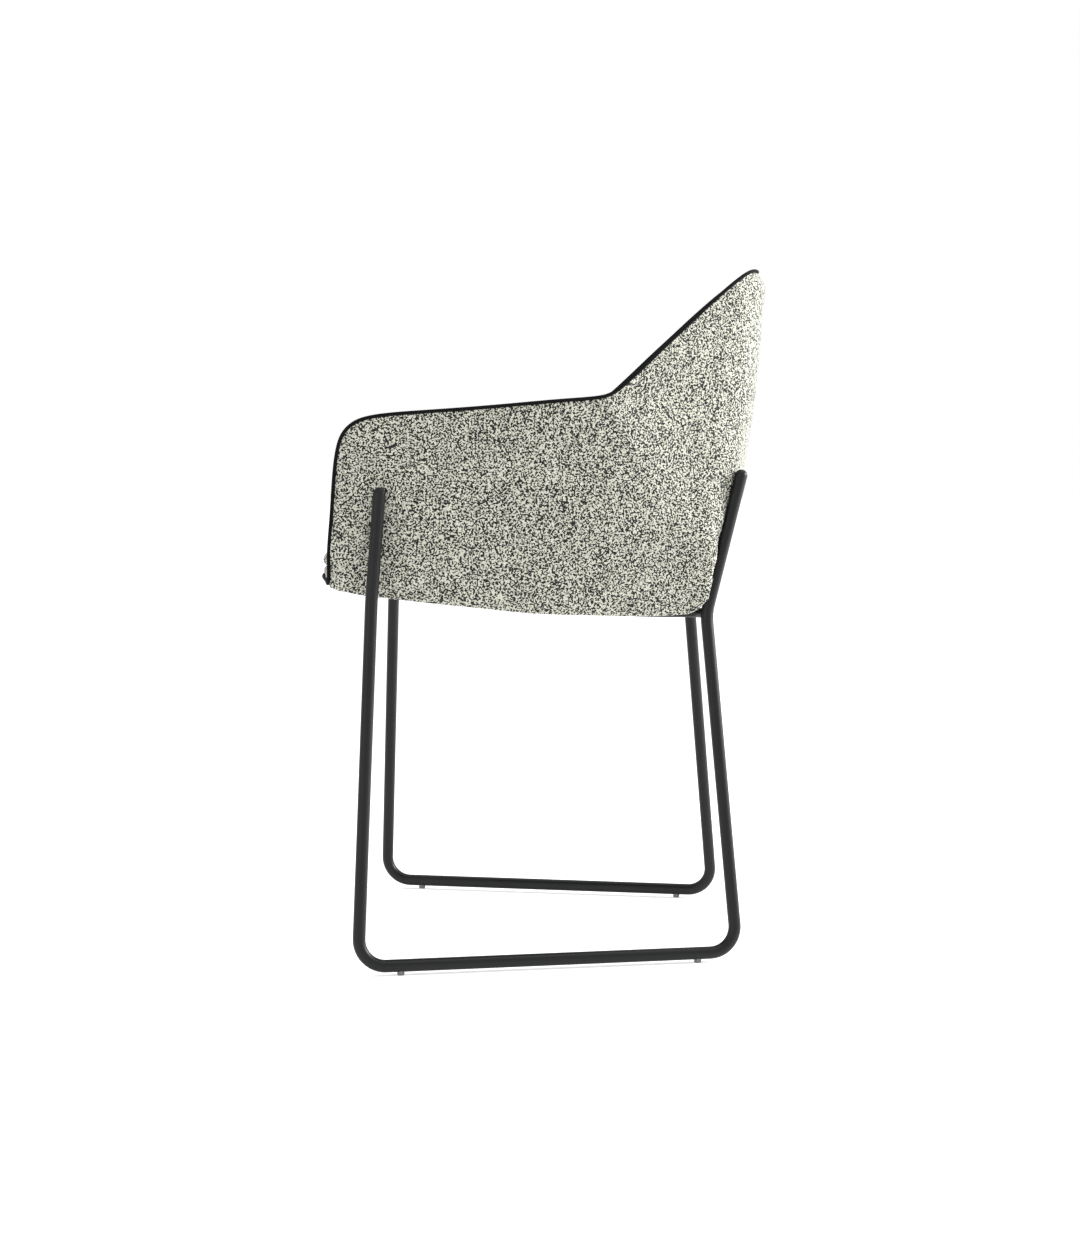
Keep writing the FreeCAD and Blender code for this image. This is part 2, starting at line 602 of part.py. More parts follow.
BOARD = both([(0, -231.0), (70, -226.5), (140, -220.5), (185, -216.0), (212.5, -210.0), (215.5, -190.0), (216.0, -150.0), (214.5, -106.0),
              (211.0, -53.0), (205.5, -5.0), (195.0, 50.0), (181.0, 110.0), (171.0, 145.0), (161.0, 168.0), (146.0, 176.0), (0, 176.0)])
board = tilted(BOARD, 403.5, BOARD_T)
DUST = both([(0, -222.0), (140, -216.0), (200, -205.0), (205.0, -150.0), (203.0, -53.0), (184.0, 50.0), (169.0, 110.0), (155.0, 150.0), (146.0, 168.0), (0, 168.0)])
dust = tilted(DUST, 403.5 - 0.2 - 1.2, 1.2)

# two tab plates welded on the cross tube, four bolts up through the board into tee nuts
plates, seat_bolts, tnuts = [], [], []
for sx in (-1, 1):
    zb = board_z(112.0)
    pl = Part.makeBox(34, 64, 4.0, V(sx * 78 - 17, 112 - 32 + Y_SHIFT, CROSS_Z + CROSS_OD / 2 - 0.8))
    pl = pl.cut(sweep(cross_path, CROSS_OD / 2))
    pl = sorted(pl.Solids, key=lambda s: -s.Volume)[0]
    for dy in (-22, 22):
        c = V(sx * 78, 112 + dy + Y_SHIFT, 0)
        pl = pl.cut(cyl(c, V(0, 0, 1), 3.3, 500))
        zb = board_z(112 + dy)
        board = board.cut(cyl(c, V(0, 0, 1), 4.3, 500))
        dust = dust.cut(cyl(c, V(0, 0, 1), 5.2, 500))
        z_plate = CROSS_Z + CROSS_OD / 2 - 0.8
        head = cyl(V(c.x, c.y, z_plate - 3.3), V(0, 0, 1), 5.5, 3.3)
        shank = cyl(V(c.x, c.y, z_plate - 0.01), V(0, 0, 1), 2.9, zb + BOARD_T - 1.5 - z_plate)
        seat_bolts.append(head.fuse(shank).removeSplitter())
        barrel = cyl(V(c.x, c.y, zb + 3.0), V(0, 0, 1), 4.2, BOARD_T - 3.0 + 0.6)
        flange = cyl(V(c.x, c.y, zb + BOARD_T + 0.6), V(0, 0, 1), 9.0, 1.2)
        tnuts.append(barrel.fuse(flange).removeSplitter().cut(cyl(c, V(0, 0, 1), 2.95, 500)))
    plates.append(pl)
keep("seat_mount_plates", Part.makeCompound(plates))
keep("seat_bolts", Part.makeCompound(seat_bolts))
keep("seat_tee_nuts", Part.makeCompound(tnuts))

# angle brackets between the seat board and the upright panels, with their screws
brackets, screws = [], []


def bracket_z(x, y, ang):
    """Height at which the bracket's flat leg just clears the sloping board."""
    c, s_ = math.cos(math.radians(ang)), math.sin(math.radians(ang))
    ys = [y + dx * s_ + dy * c for dx in (-22, 0) for dy in (-10, 10)]
    return max(board_z(v) for v in ys) + BOARD_T + 0.15


def bracket(x, y, ang):
    """Angle bracket standing on the board at (x, y); ang is its wall's outward direction in plan, degrees."""
    z0 = bracket_z(x, y, ang)
    flat = Part.makeBox(22, 20, 2.5, V(-22, -10, 0))
    up = Part.makeBox(2.5, 20, 20, V(-2.5, -10, 0))
    b = flat.fuse(up).removeSplitter()
    b = b.cut(cyl(V(-13, 0, -1), V(0, 0, 1), 2.2, 9)).cut(cyl(V(-9, 0, 13), V(1, 0, 0), 2.2, 12))
    s1 = cyl(V(-13, 0, -8.5), V(0, 0, 1), 1.9, 11.0).fuse(cyl(V(-13, 0, 2.5), V(0, 0, 1), 4.0, 2.0)).removeSplitter()
    s2 = cyl(V(-2.5, 0, 13), V(1, 0, 0), 1.9, 8.0).fuse(cyl(V(-4.5, 0, 13), V(1, 0, 0), 4.0, 2.0)).removeSplitter()
    out = []
    for s in (b, s1, s2):
        s = s.copy()
        s.rotate(V(0, 0, 0), V(0, 0, 1), ang)
        s.translate(V(x, y + Y_SHIFT, z0))
        out.append(s)
    return out


spots = []
for y in (-130.0, 40.0):
    # inner face of the side panel at bracket height
    g = 0.16
    best = min((side_point(i / 400.0, g) for i in range(401)), key=lambda p: abs(p[1] - y))
    nx = min((i / 400.0 for i in range(401)), key=lambda f: abs(side_point(f, g)[1] - y))
    a, b = side_point(max(nx - 0.02, 0), g), side_point(min(nx + 0.02, 1), g)
    ang = math.degrees(math.atan2(a[0] - b[0], b[1] - a[1]))
    d = D2 + 2.2
    spots.append((best[0] - d * math.cos(math.radians(ang)), best[1] - d * math.sin(math.radians(ang)), ang))
spots.append((86.0, 205.0 - D2 - 3.4, 86.0))
for x, y, ang in spots:
    b, s1, s2 = bracket(x, y, ang)
    grow = Part.makeBox(26, 24, 24, V(-24, -12, -1.5))
    grow = grow.fuse(Part.makeBox(16, 9, 9, V(-9, -4.5, 8.5)))
    grow.rotate(V(0, 0, 0), V(0, 0, 1), ang)
    grow.translate(V(x, y + Y_SHIFT, bracket_z(x, y, ang)))
    h1 = cyl(V(-13, 0, -10), V(0, 0, 1), 1.95, 12)
    h2 = cyl(V(-3, 0, 13), V(1, 0, 0), 1.95, 9.2)
    for h in (h1, h2):
        h.rotate(V(0, 0, 0), V(0, 0, 1), ang)
        h.translate(V(x, y + Y_SHIFT, bracket_z(x, y, ang)))
    board = board.cut(h1).cut(mirror(h1))
    if ang < 60:
        panel_side = panel_side.cut(h2)
        pad_side = pad_side.cut(grow)
    else:
        panel_back = panel_back.cut(h2).cut(mirror(h2))
        pad_back = pad_back.cut(grow).cut(mirror(grow))
    brackets += [b, mirror(b)]
    screws += [s1, s2, mirror(s1), mirror(s2)]
keep("corner_brackets", Part.makeCompound(brackets))
keep("bracket_screws", Part.makeCompound(screws))
keep("seat_board", board)
keep("underside_cover", dust)


def one(s):
    return sorted(s.Solids, key=lambda x: -x.Volume)[0]


keep("left_outer_cover", one(cover_side))
keep("right_outer_cover", mirror(one(cover_side)))
keep("back_outer_cover", one(cover_back))
keep("left_arm_panel", one(panel_side))
keep("right_arm_panel", mirror(one(panel_side)))
keep("back_panel", one(panel_back))
keep("left_arm_foam", one(pad_side))
keep("right_arm_foam", mirror(one(pad_side)))
keep("back_foam", one(pad_back))

# ------------------------------------------------------------ seat cushion
CUSH = [(0, -239.2), (80, -234.6), (150, -228.4), (186, -222.6), (195.5, -210.0), (197.0, -170.0), (197.0, -120.0), (194.5, -60.0),
        (187.0, 0.0), (174.0, 60.0), (158.5, 108.0), (146.0, 134.0), (124.0, 150.0), (88.0, 157.5), (0, 160.0)]
CUSHION_T = 29.5
pts = both(CUSH)
c = Part.BSplineCurve()
c.interpolate([V(x, y, 0) for x, y in pts], PeriodicFlag=True)
cushion = Part.Face(Part.Wire([c.toShape()])).extrude(V(0, 0, CUSHION_T))
cushion = cushion.makeFillet(15.0, [e for e in cushion.Edges if e.BoundBox.ZMin > CUSHION_T - 0.1])
m = FreeCAD.Matrix()
m.A32 = SLOPE
m.A34 = 403.5 + BOARD_T + 5.8
cushion = cushion.transformGeometry(m)
cushion.translate(V(0, Y_SHIFT, 0))
keep("seat_cushion", cushion)

# front border: the upholstered strip below the cushion's nose
FRONT_LINE = [(226.0, -222.4), (205.0, -225.0), (175.0, -228.4), (120.0, -233.8), (60.0, -239.2), (0.0, -242.2)]
front_pts = FRONT_LINE + [(-x, y) for x, y in reversed(FRONT_LINE[:-1])]


def border(off):
    rows = []
    for z, dy in ((424.4, 0.6), (426.6, 0.0), (429.2, 0.0), (431.5, 0.6)):
        c = curve3([(x, y + dy + off, z) for x, y in front_pts])
        rows.append(even(c, 15))
    return rows


keep("front_border", slab(border(0.0), border(8.5)))

# ------------------------------------------------------------- edge piping
FRONT_PIPE = [(0.0, -243.0, 421.9), (38.0, -241.2, 421.8), (80.0, -237.4, 421.5), (130.0, -231.8, 421.3), (175.0, -227.4, 421.2), (205.0, -224.8, 421.3),
              (219.0, -223.4, 421.6), (226.6, -222.4, 423.2), (230.2, -221.7, 428.5)]


def thin(points, least):
    out = [points[0]]
    for p in points[1:-1]:
        if math.dist(p, out[-1]) >= least:
            out.append(p)
    if math.dist(points[-1], out[-1]) < least * 0.6 and len(out) > 1:
        out.pop()
    out.append(points[-1])
    return out


rim = FRONT_PIPE + RIM_FRONT[1:] + RIM_ARM[1:] + RIM_WING[1:] + RIM_TOP[1:]
rim = thin(rim, 6.0)
radii = []
for a, b, c3 in zip(rim, rim[1:], rim[2:]):
    va, vb = vec(a) - vec(b), vec(c3) - vec(b)
    turn = math.pi - va.getAngle(vb)
    run = min(va.Length, vb.Length)
    radii.append(0.45 * run / math.tan(max(turn, 0.002) / 2))
print("piping: smallest bend radius %.1f mm" % min(radii))
half_path = tube_path(rim, radii)
half = sweep(half_path, PIPING_D / 2)
print("piping: half length %.1f mm, volume ratio %.4f" % (
    half_path.Length, half.Volume / (math.pi * PIPING_D ** 2 / 4 * half_path.Length)))
whole = half.fuse(mirror(half))
groove = sweep(half_path, PIPING_D / 2 + 0.2)
for name in ("left_outer_cover", "right_outer_cover", "back_outer_cover", "front_border"):
    for g in (groove, mirror(groove)):
        if SOLIDS[name].BoundBox.intersect(g.BoundBox):
            SOLIDS[name] = one(SOLIDS[name].cut(g))
keep("edge_piping", whole)

box = FreeCAD.BoundBox()
for name, s in SOLIDS.items():
    export(name, s)
    box.add(s.BoundBox)
print("box X %.2f..%.2f  Y %.2f..%.2f  Z %.2f..%.2f" % (box.XMin, box.XMax, box.YMin, box.YMax, box.ZMin, box.ZMax))
print("middle of the box: Y %.3f" % ((box.YMin + box.YMax) / 2))
print("nodes", len(SOLIDS))
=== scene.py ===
import math
import random

import bmesh
import bpy
import numpy as np
from mathutils import Matrix, Vector


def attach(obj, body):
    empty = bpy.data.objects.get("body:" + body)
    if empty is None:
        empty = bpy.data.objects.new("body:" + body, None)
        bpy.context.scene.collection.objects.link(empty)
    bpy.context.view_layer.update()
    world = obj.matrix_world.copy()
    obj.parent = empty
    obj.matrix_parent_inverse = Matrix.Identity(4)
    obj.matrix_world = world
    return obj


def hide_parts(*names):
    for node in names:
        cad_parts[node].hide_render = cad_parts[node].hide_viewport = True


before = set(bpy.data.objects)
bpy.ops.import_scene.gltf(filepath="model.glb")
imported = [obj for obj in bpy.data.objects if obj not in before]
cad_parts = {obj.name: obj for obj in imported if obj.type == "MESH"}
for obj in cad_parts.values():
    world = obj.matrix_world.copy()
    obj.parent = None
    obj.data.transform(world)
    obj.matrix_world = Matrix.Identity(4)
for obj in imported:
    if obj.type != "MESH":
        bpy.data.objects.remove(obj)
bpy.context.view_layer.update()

random.seed(7)
RNG = np.random.default_rng(7)
YS = -14.3               # shift between the tables below and the row frame, mm

# ------------------------------------------------------------------ shell tables, mm
RIM_FRONT = [(230, -221.5, 424), (231.5, -221.6, 445), (235, -218.4, 493), (238.5, -214.7, 541),
             (240.8, -210.6, 570), (242.2, -206.6, 582.5), (243.0, -200.6, 591.5)]
RIM_ARM = [(243.0, -200.6, 591.5), (243.4, -190.6, 599.3), (243.6, -178.0, 603.8), (243.5, -158.6, 607.0),
           (242.8, -120.0, 610.2), (240.4, -80.0, 613.0), (236.8, -45.0, 615.8), (231.8, -5.0, 619.4),
           (223.8, 38.8, 623.3), (215.6, 72.0, 626.2), (213.0, 84.0, 628.4)]
RIM_WING = [(213.0, 84.0, 628.4), (208.4, 95.3, 633.9), (203.6, 107.7, 643.9), (197.6, 121.2, 656.4),
            (190.8, 134.8, 669.3), (180.6, 155.3, 688.8), (170.0, 175.9, 707.8), (159.2, 196.5, 727.0),
            (147.6, 217.3, 745.6), (134.0, 238.0, 762.6), (127.0, 245.6, 767.8)]
RIM_TOP = [(127.0, 245.6, 767.8), (115.0, 253.4, 771.3), (98.0, 258.6, 772.0), (50.0, 261.6, 773.4), (0.0, 262.6, 774.0)]
BOTTOM = [(229.0, -221.0, 418.0), (231.5, -190.0, 410.5), (232.5, -150.0, 405.5), (231.5, -106.0, 400.5),
          (228.5, -53.0, 395.0), (222.5, -5.0, 389.6), (212.0, 50.0, 386.8), (197.5, 110.0, 384.6),
          (187.5, 145.0, 384.2), (176.5, 176.0, 385.8)]
FOLD = [(176.5, 176.0, 385.8), (181.0, 181.5, 398.0), (184.5, 177.5, 416.0), (189.0, 170.0, 447.0),
        (197.5, 149.5, 495.0), (204.5, 123.0, 546.0), (210.0, 99.0, 597.0), (213.0, 84.0, 628.4)]
BACK_ROWS = [
    [(176.5, 176.0, 385.8), (177.0, 180.0, 386.4), (176.2, 184.3, 388.0), (173.6, 188.0, 390.6), (168.0, 189.6, 392.8), (150.0, 190.0, 393.6), (80.0, 188.5, 394.0), (0.0, 187.0, 394.0)],
    [(181.0, 181.5, 398.0), (180.6, 187.0, 398.6), (179.2, 192.6, 399.4), (176.0, 196.2, 400.2), (169.6, 193.8, 400.8), (150.0, 195.5, 401.0), (80.0, 199.0, 401.0), (0.0, 201.0, 401.0)],
    [(184.5, 177.5, 416.0), (183.6, 188.0, 416.0), (181.2, 197.8, 416.0), (176.8, 203.2, 416.0), (168.0, 198.4, 416.0), (150.0, 200.5, 416.0), (80.0, 206.5, 416.0), (0.0, 209.5, 416.0)],
    [(189.0, 170.0, 447.0), (187.0, 186.0, 447.0), (182.6, 200.8, 447.0), (176.4, 209.4, 447.0), (164.0, 206.8, 447.0), (140.0, 209.5, 447.0), (80.0, 215.2, 447.0), (0.0, 218.5, 447.0)],
    [(197.5, 149.5, 495.0), (186.0, 176.0, 495.0), (174.0, 201.0, 495.0), (164.0, 215.2, 495.0), (150.0, 219.4, 495.0), (125.0, 225.6, 495.0), (70.0, 233.6, 495.0), (0.0, 237.5, 495.0)],
    [(204.5, 123.0, 546.0), (184.5, 160.0, 546.0), (166.5, 195.0, 546.0), (151.5, 221.5, 546.0), (134.5, 235.5, 546.0), (106.0, 240.8, 546.0), (60.0, 247.2, 546.0), (0.0, 251.0, 546.0)],
    [(210.3, 97.6, 600.0), (184.0, 144.0, 600.0), (161.0, 186.0, 600.0), (141.0, 220.5, 600.0), (122.0, 241.0, 600.0), (95.0, 251.5, 600.0), (50.0, 257.5, 600.0), (0.0, 259.6, 600.0)],
    [(213.0, 84.0, 628.4), (185.0, 135.0, 628.4), (159.5, 182.0, 628.4), (137.5, 221.0, 628.4), (119.5, 243.0, 628.4), (94.0, 255.0, 628.4), (50.0, 261.0, 628.4), (0.0, 263.0, 628.4)],
    [(195.7, 125.1, 660.0), (175.0, 163.0, 660.0), (154.0, 200.0, 660.0), (134.0, 231.5, 660.0), (117.0, 248.0, 660.0), (93.0, 258.8, 660.0), (50.0, 264.6, 660.0), (0.0, 266.6, 660.0)],
    [(174.4, 167.4, 700.0), (159.0, 196.0, 700.0), (144.0, 222.0, 700.0), (129.0, 242.0, 700.0), (113.5, 253.6, 700.0), (91.0, 262.5, 700.0), (50.0, 267.6, 700.0), (0.0, 269.6, 700.0)],
    [(154.3, 205.4, 735.0), (144.5, 223.0, 735.0), (134.0, 239.0, 735.0), (122.5, 250.5, 735.0), (109.0, 258.6, 735.0), (88.0, 265.8, 735.0), (50.0, 270.4, 735.0), (0.0, 272.4, 735.0)],
    [(138.6, 231.2, 757.0), (132.5, 239.4, 757.5), (124.5, 247.4, 758.0), (115.0, 254.0, 758.6), (103.0, 261.0, 759.2), (85.0, 266.6, 760.0), (48.0, 271.4, 761.0), (0.0, 273.6, 761.5)],
    [(127.0, 245.6, 767.8), (121.4, 249.6, 769.9), (115.0, 253.4, 771.3), (107.0, 256.5, 771.9), (98.0, 258.6, 772.0), (80.0, 260.4, 772.6), (45.0, 261.9, 773.6), (0.0, 262.6, 774.0)],
]
RUN_ON = [0, 0, 0, 0, 0, 0, 0, 2.0, 46.0, 50.0, 46.0, 42.0, 40.0]
FRONT_PIPE = [(0.0, -243.0, 421.9), (38.0, -241.2, 421.8), (80.0, -237.4, 421.5), (130.0, -231.8, 421.3), (175.0, -227.4, 421.2), (205.0, -224.8, 421.3),
              (219.0, -223.4, 421.6), (226.6, -222.4, 423.2), (230.2, -221.7, 428.5)]
FRONT_LINE = [(226.0, -222.4), (205.0, -225.0), (175.0, -228.4), (120.0, -233.8), (60.0, -239.2), (0.0, -242.2)]
CUSH = [(0, -239.2), (80, -234.6), (150, -228.4), (186, -222.6), (195.5, -210.0), (197.0, -170.0), (197.0, -120.0), (194.5, -60.0),
        (187.0, 0.0), (174.0, 60.0), (158.5, 108.0), (146.0, 134.0), (124.0, 150.0), (88.0, 157.5), (0, 160.0)]
REAR_ROD = [(173.0, 198.0, 385.5), (144.6, 238.6, 540.0)]
SLOPE = -0.05


# ------------------------------------------------------------------ helpers
class Curve:
    """Natural cubic spline through points, on 0..1 by chord length."""

    def __init__(self, pts):
        P = np.array(pts, float)
        d = np.r_[0, np.cumsum(np.linalg.norm(np.diff(P, axis=0), axis=1))]
        self.t, self.P = d / d[-1], P
        n, h = len(P), np.diff(d / d[-1])
        A, B = np.zeros((n, n)), np.zeros(P.shape)
        A[0, 0] = A[-1, -1] = 1
        for i in range(1, n - 1):
            A[i, i - 1], A[i, i], A[i, i + 1] = h[i - 1], 2 * (h[i - 1] + h[i]), h[i]
            B[i] = 6 * ((P[i + 1] - P[i]) / h[i] - (P[i] - P[i - 1]) / h[i - 1])
        self.M = np.linalg.solve(A, B)

    def __call__(self, t):
        t = np.atleast_1d(np.asarray(t, float))
        k = np.clip(np.searchsorted(self.t, t, side="right") - 1, 0, len(self.t) - 2)
        h = (self.t[k + 1] - self.t[k])[:, None]
        a, b = (self.t[k + 1] - t)[:, None] / h, (t - self.t[k])[:, None] / h
        return a * self.P[k] + b * self.P[k + 1] + ((a ** 3 - a) * self.M[k] + (b ** 3 - b) * self.M[k + 1]) * h * h / 6


def along(P, s):
    """Points at arc lengths s along a polyline."""
    d = np.r_[0, np.cumsum(np.linalg.norm(np.diff(P, axis=0), axis=1))]
    return np.stack([np.interp(s, d, P[:, k]) for k in range(P.shape[1])], -1)


def length(P):
    return float(np.linalg.norm(np.diff(P, axis=0), axis=1).sum())


def ease(x):
    x = np.clip(x, 0, 1)
    return x * x * (3 - 2 * x)


def metres(P):
    P = np.array(P, float)
    return (P + np.array([0, YS, 0])) / 1000.0


def make_mesh(name, verts_mm, faces, smooth=True, shift=True):
    me = bpy.data.meshes.new(name)
    v = metres(verts_mm) if shift else np.array(verts_mm) / 1000.0
    me.from_pydata([tuple(p) for p in v], [], [tuple(f) for f in faces])
    me.validate()
    ob = bpy.data.objects.new(name, me)
    bpy.context.scene.collection.objects.link(ob)
    bm = bmesh.new()
    bm.from_mesh(me)
    bmesh.ops.recalc_face_normals(bm, faces=bm.faces)
    bm.to_mesh(me)
    bm.free()
    if smooth:
        me.polygons.foreach_set("use_smooth", [True] * len(me.polygons))
    return ob


def neighbours(faces, n):
    e = set()
    for f in faces:
        for a, b in zip(f, f[1:] + f[:1]):
            e.add((min(a, b), max(a, b)))
    e = np.array(sorted(e))
    return e


def laplace(X, edges, weight, times):
    """Moves each row of X towards the mean of its neighbours by weight."""
    n = len(X)
    cnt = np.bincount(edges.ravel(), minlength=n).astype(float)
    w = np.asarray(weight, float).reshape(-1, 1)
    for _ in range(times):
        acc = np.zeros_like(X)
        for k in range(X.shape[1]):
            acc[:, k] = np.bincount(edges[:, 0], X[edges[:, 1], k], n) + np.bincount(edges[:, 1], X[edges[:, 0], k], n)
        X = X + w * (acc / cnt[:, None] - X)
    return X


def vertex_normals(V, faces):
    F = np.array(faces)
    n = np.cross(V[F[:, 2]] - V[F[:, 0]], V[F[:, 3]] - V[F[:, 1]])
    out = np.zeros_like(V)
    for k in range(4):
        for c in range(3):
            out[:, c] += np.bincount(F[:, k], n[:, c], len(V))
    return out / np.maximum(np.linalg.norm(out, axis=1, keepdims=True), 1e-9)


# ------------------------------------------------------------------ outer surface of the shell
bottom_c, arm_c, fold_c = Curve(BOTTOM), Curve(RIM_ARM), Curve(FOLD)
front_c = Curve([BOTTOM[0]] + RIM_FRONT[1:])
wing_c, top_c = Curve(RIM_WING), Curve(RIM_TOP + [(-p[0], p[1], p[2]) for p in reversed(RIM_TOP[:-1])])


def side_surface(f, g):
    """f front to rear, g bottom to rim, both 1-D arrays; returns (len g, len f, 3)."""
    b, r = bottom_c(f), arm_c(f)
    F, L = front_c(g), fold_c(g)
    b0, r0, b1, r1 = (np.array(p, float) for p in (BOTTOM[0], RIM_ARM[0], FOLD[0], FOLD[-1]))
    G, Fr = g[:, None, None], f[None, :, None]
    line = b[None] + (r - b)[None] * G
    out = line + (F[:, None] - (b0 + (r0 - b0) * G)) * (1 - Fr) ** 2.2 + (L[:, None] - (b1 + (r1 - b1) * G)) * Fr ** 1.7
    out[..., 0] += 4.0 * np.sin(np.pi * f)[None] * np.sin(np.pi * g)[:, None]
    out[..., 0] -= 3.0 * np.exp(-g / 0.035)[:, None] * (1 - f[None] ** 6)
    return out


near = [0, 1.0, 2.1, 3.4, 4.9, 6.6, 8.5, 10.7, 13.3, 16.4, 20.2, 24.6, 29.6]


def graded(total, step, tail=()):
    d = list(near)
    while d[-1] + step < total - (tail[-1] if tail else 0):
        d.append(d[-1] + step)
    d += [total - t for t in reversed(tail)] + [total]
    return np.array(d) / total


F_ = graded(395.0, 5.2)
G_ = 1 - graded(205.0, 5.2, tail=(2.0, 4.5, 7.5, 11.5))[::-1]
NF, NG = len(F_) - 1, len(G_) - 1
sideL = side_surface(F_, G_)

# back: rows run from the left edge to the middle
half_rows = []
for pts, more in zip(BACK_ROWS, RUN_ON):
    pts = [tuple(map(float, p)) for p in pts]
    if more:
        a, b = pts[1], pts[0]
        dx, dy = (b[0] - a[0], b[1] - a[1]) if b[2] < 750 else (9.8, -17.6)
        n = math.hypot(dx, dy)
        first = (b[0] + dx / n * more, b[1] + dy / n * more, b[2])
        pts = ([first] if more > 10 else []) + ([first] if more <= 10 else [b]) + pts[1:]
    full = pts + [(-p[0], p[1], p[2]) for p in reversed(pts[:-1])]
    dense = Curve(full)(np.linspace(0, 1, 801))
    half = along(dense, np.linspace(0, length(dense) / 2, 121))
    half_rows.append(half)
half_rows = np.array(half_rows)                     # 13 x 121 x 3
NV = 500
sheet = np.zeros((NV, 121, 3))
for k in range(121):
    c = Curve(half_rows[:, k])
    d = c(np.linspace(0, 1, 1601))
    sheet[:, k] = along(d, np.linspace(0, length(d), NV))
RIM_SIDE = np.vstack([arm_c(np.linspace(0.5, 1, 120)), wing_c(np.linspace(0, 1, 200))[1:], Curve(RIM_TOP)(np.linspace(0, 1, 120))[1:]])
rim_y = RIM_SIDE[:, 1]
rim_z = RIM_SIDE[:, 2]


def line_z(y):
    return np.interp(y, rim_y, rim_z)


C_ = graded(240.0, 6.0)
NC = len(C_) - 1


def row_from(v, start=None, cross=False):
    """One row of the back, from its left edge to the middle, at sheet row v (float)."""
    i = min(int(v), NV - 2)
    P = sheet[i] * (1 - (v - i)) + sheet[i + 1] * (v - i)
    P = along(P, np.linspace(0, length(P), 601))
    if cross:
        h = line_z(P[:, 1]) - P[:, 2]
        k = int(np.argmax(h > 0)) if (h > 0).any() else 0
        if k > 0:
            w = -h[k - 1] / (h[k] - h[k - 1])
            P = np.vstack([P[k - 1] * (1 - w) + P[k] * w, P[k:]])
    if start is not None:
        d = np.r_[0, np.cumsum(np.linalg.norm(np.diff(P, axis=0), axis=1))]
        P = P + (start - P[0]) * (1 - ease(d / 22.0))[:, None]
    return along(P, C_ * length(P))


# lower rows start on the fold
edge_z = sheet[:, 0, 2]
fold_pts = fold_c(G_)
lower = []
for j in range(NG + 1):
    v = np.interp(fold_pts[j, 2], edge_z[:int(NV * 0.75)], np.arange(int(NV * 0.75)))
    lower.append(row_from(v, start=fold_pts[j]))
lower = np.array(lower)
# upper rows start on the wing's edge
cross_z, vs = [], np.linspace(np.interp(629.0, edge_z[:int(NV * 0.75)], np.arange(int(NV * 0.75))), NV - 1.001, 260)
starts = [row_from(v, cross=True)[0] for v in vs]
cross_z = np.maximum.accumulate(np.array([p[2] for p in starts]))
want = list(np.arange(628.4 + 3.6, 767.8 - 26.0, 3.9))
want += [767.8 - d for d in reversed([0.0, 0.9, 1.9, 3.1, 4.5, 6.1, 7.9, 10.0, 12.6, 15.6, 19.0, 22.6])]
upper = []
for z in want:
    v = np.interp(z, cross_z + np.arange(len(cross_z)) * 1e-6, vs)
    zz = np.interp(z, [p[2] for p in RIM_WING], np.arange(len(RIM_WING)))
    upper.append((z, v))
rim_by_z = wing_c(np.linspace(0, 1, 800))
rows = []
for z, v in upper:
    q = np.array([np.interp(z, rim_by_z[:, 2], rim_by_z[:, k]) for k in range(3)])
    rows.append(row_from(v, start=q, cross=True))
rows[-1] = along(Curve(RIM_TOP)(np.linspace(0, 1, 600)), C_ * length(Curve(RIM_TOP)(np.linspace(0, 1, 600))))
upper = np.array(rows)
NT = NG + len(upper)


def whole(rows_half):
    m = rows_half[:, ::-1].copy()
    m[..., 0] *= -1
    return np.concatenate([rows_half, m[:, 1:]], 1)


mirS = sideL[:, ::-1].copy()
mirS[..., 0] *= -1
wide_lower = np.concatenate([sideL[:, :NF], whole(lower), mirS[:, 1:]], 1)
wide_upper = whole(upper)
NW = wide_lower.shape[1]
ids_low = np.arange((NG + 1) * NW).reshape(NG + 1, NW)
ids_up = (NG + 1) * NW + np.arange(wide_upper.shape[0] * wide_upper.shape[1]).reshape(wide_upper.shape[:2])
OUT = np.vstack([wide_lower.reshape(-1, 3), wide_upper.reshape(-1, 3)])
N = len(OUT)
faces = []
for j in range(NG):
    for i in range(NW - 1):
        faces.append((int(ids_low[j, i]), int(ids_low[j, i + 1]), int(ids_low[j + 1, i + 1]), int(ids_low[j + 1, i])))
band = np.vstack([ids_low[NG:NG + 1, NF:NF + 2 * NC + 1], ids_up])
for j in range(band.shape[0] - 1):
    for i in range(band.shape[1] - 1):
        faces.append((int(band[j, i]), int(band[j, i + 1]), int(band[j + 1, i + 1]), int(band[j + 1, i])))
edges = neighbours(faces, N)
rim_loop = ([int(k) for k in ids_low[:, 0]] + [int(k) for k in ids_low[NG, 1:NF]] + [int(k) for k in band[:, 0]]
            + [int(k) for k in band[-1, 1:-1]] + [int(k) for k in band[::-1, -1]]
            + [int(k) for k in ids_low[NG, NF + 2 * NC + 1:NW - 1]] + [int(k) for k in ids_low[::-1, -1]])
bottom_row = [int(k) for k in ids_low[0]]
fixed = np.zeros(N)
fixed[rim_loop] = 1
fixed[bottom_row] = 1
rim_pts = OUT[rim_loop]
s_rim = np.array([np.min(np.linalg.norm(rim_pts - p, axis=1)) for p in OUT])
fold_dense = fold_c(np.linspace(0, 1, 160))
fold_both = np.vstack([fold_dense, fold_dense * np.array([-1, 1, 1])])
d_fold = np.array([np.min(np.linalg.norm(fold_both - p, axis=1)) for p in OUT])
is_back = np.zeros(N, bool)
is_back[ids_low[:, NF:NF + 2 * NC + 1].ravel()] = True
is_back[ids_up.ravel()] = True

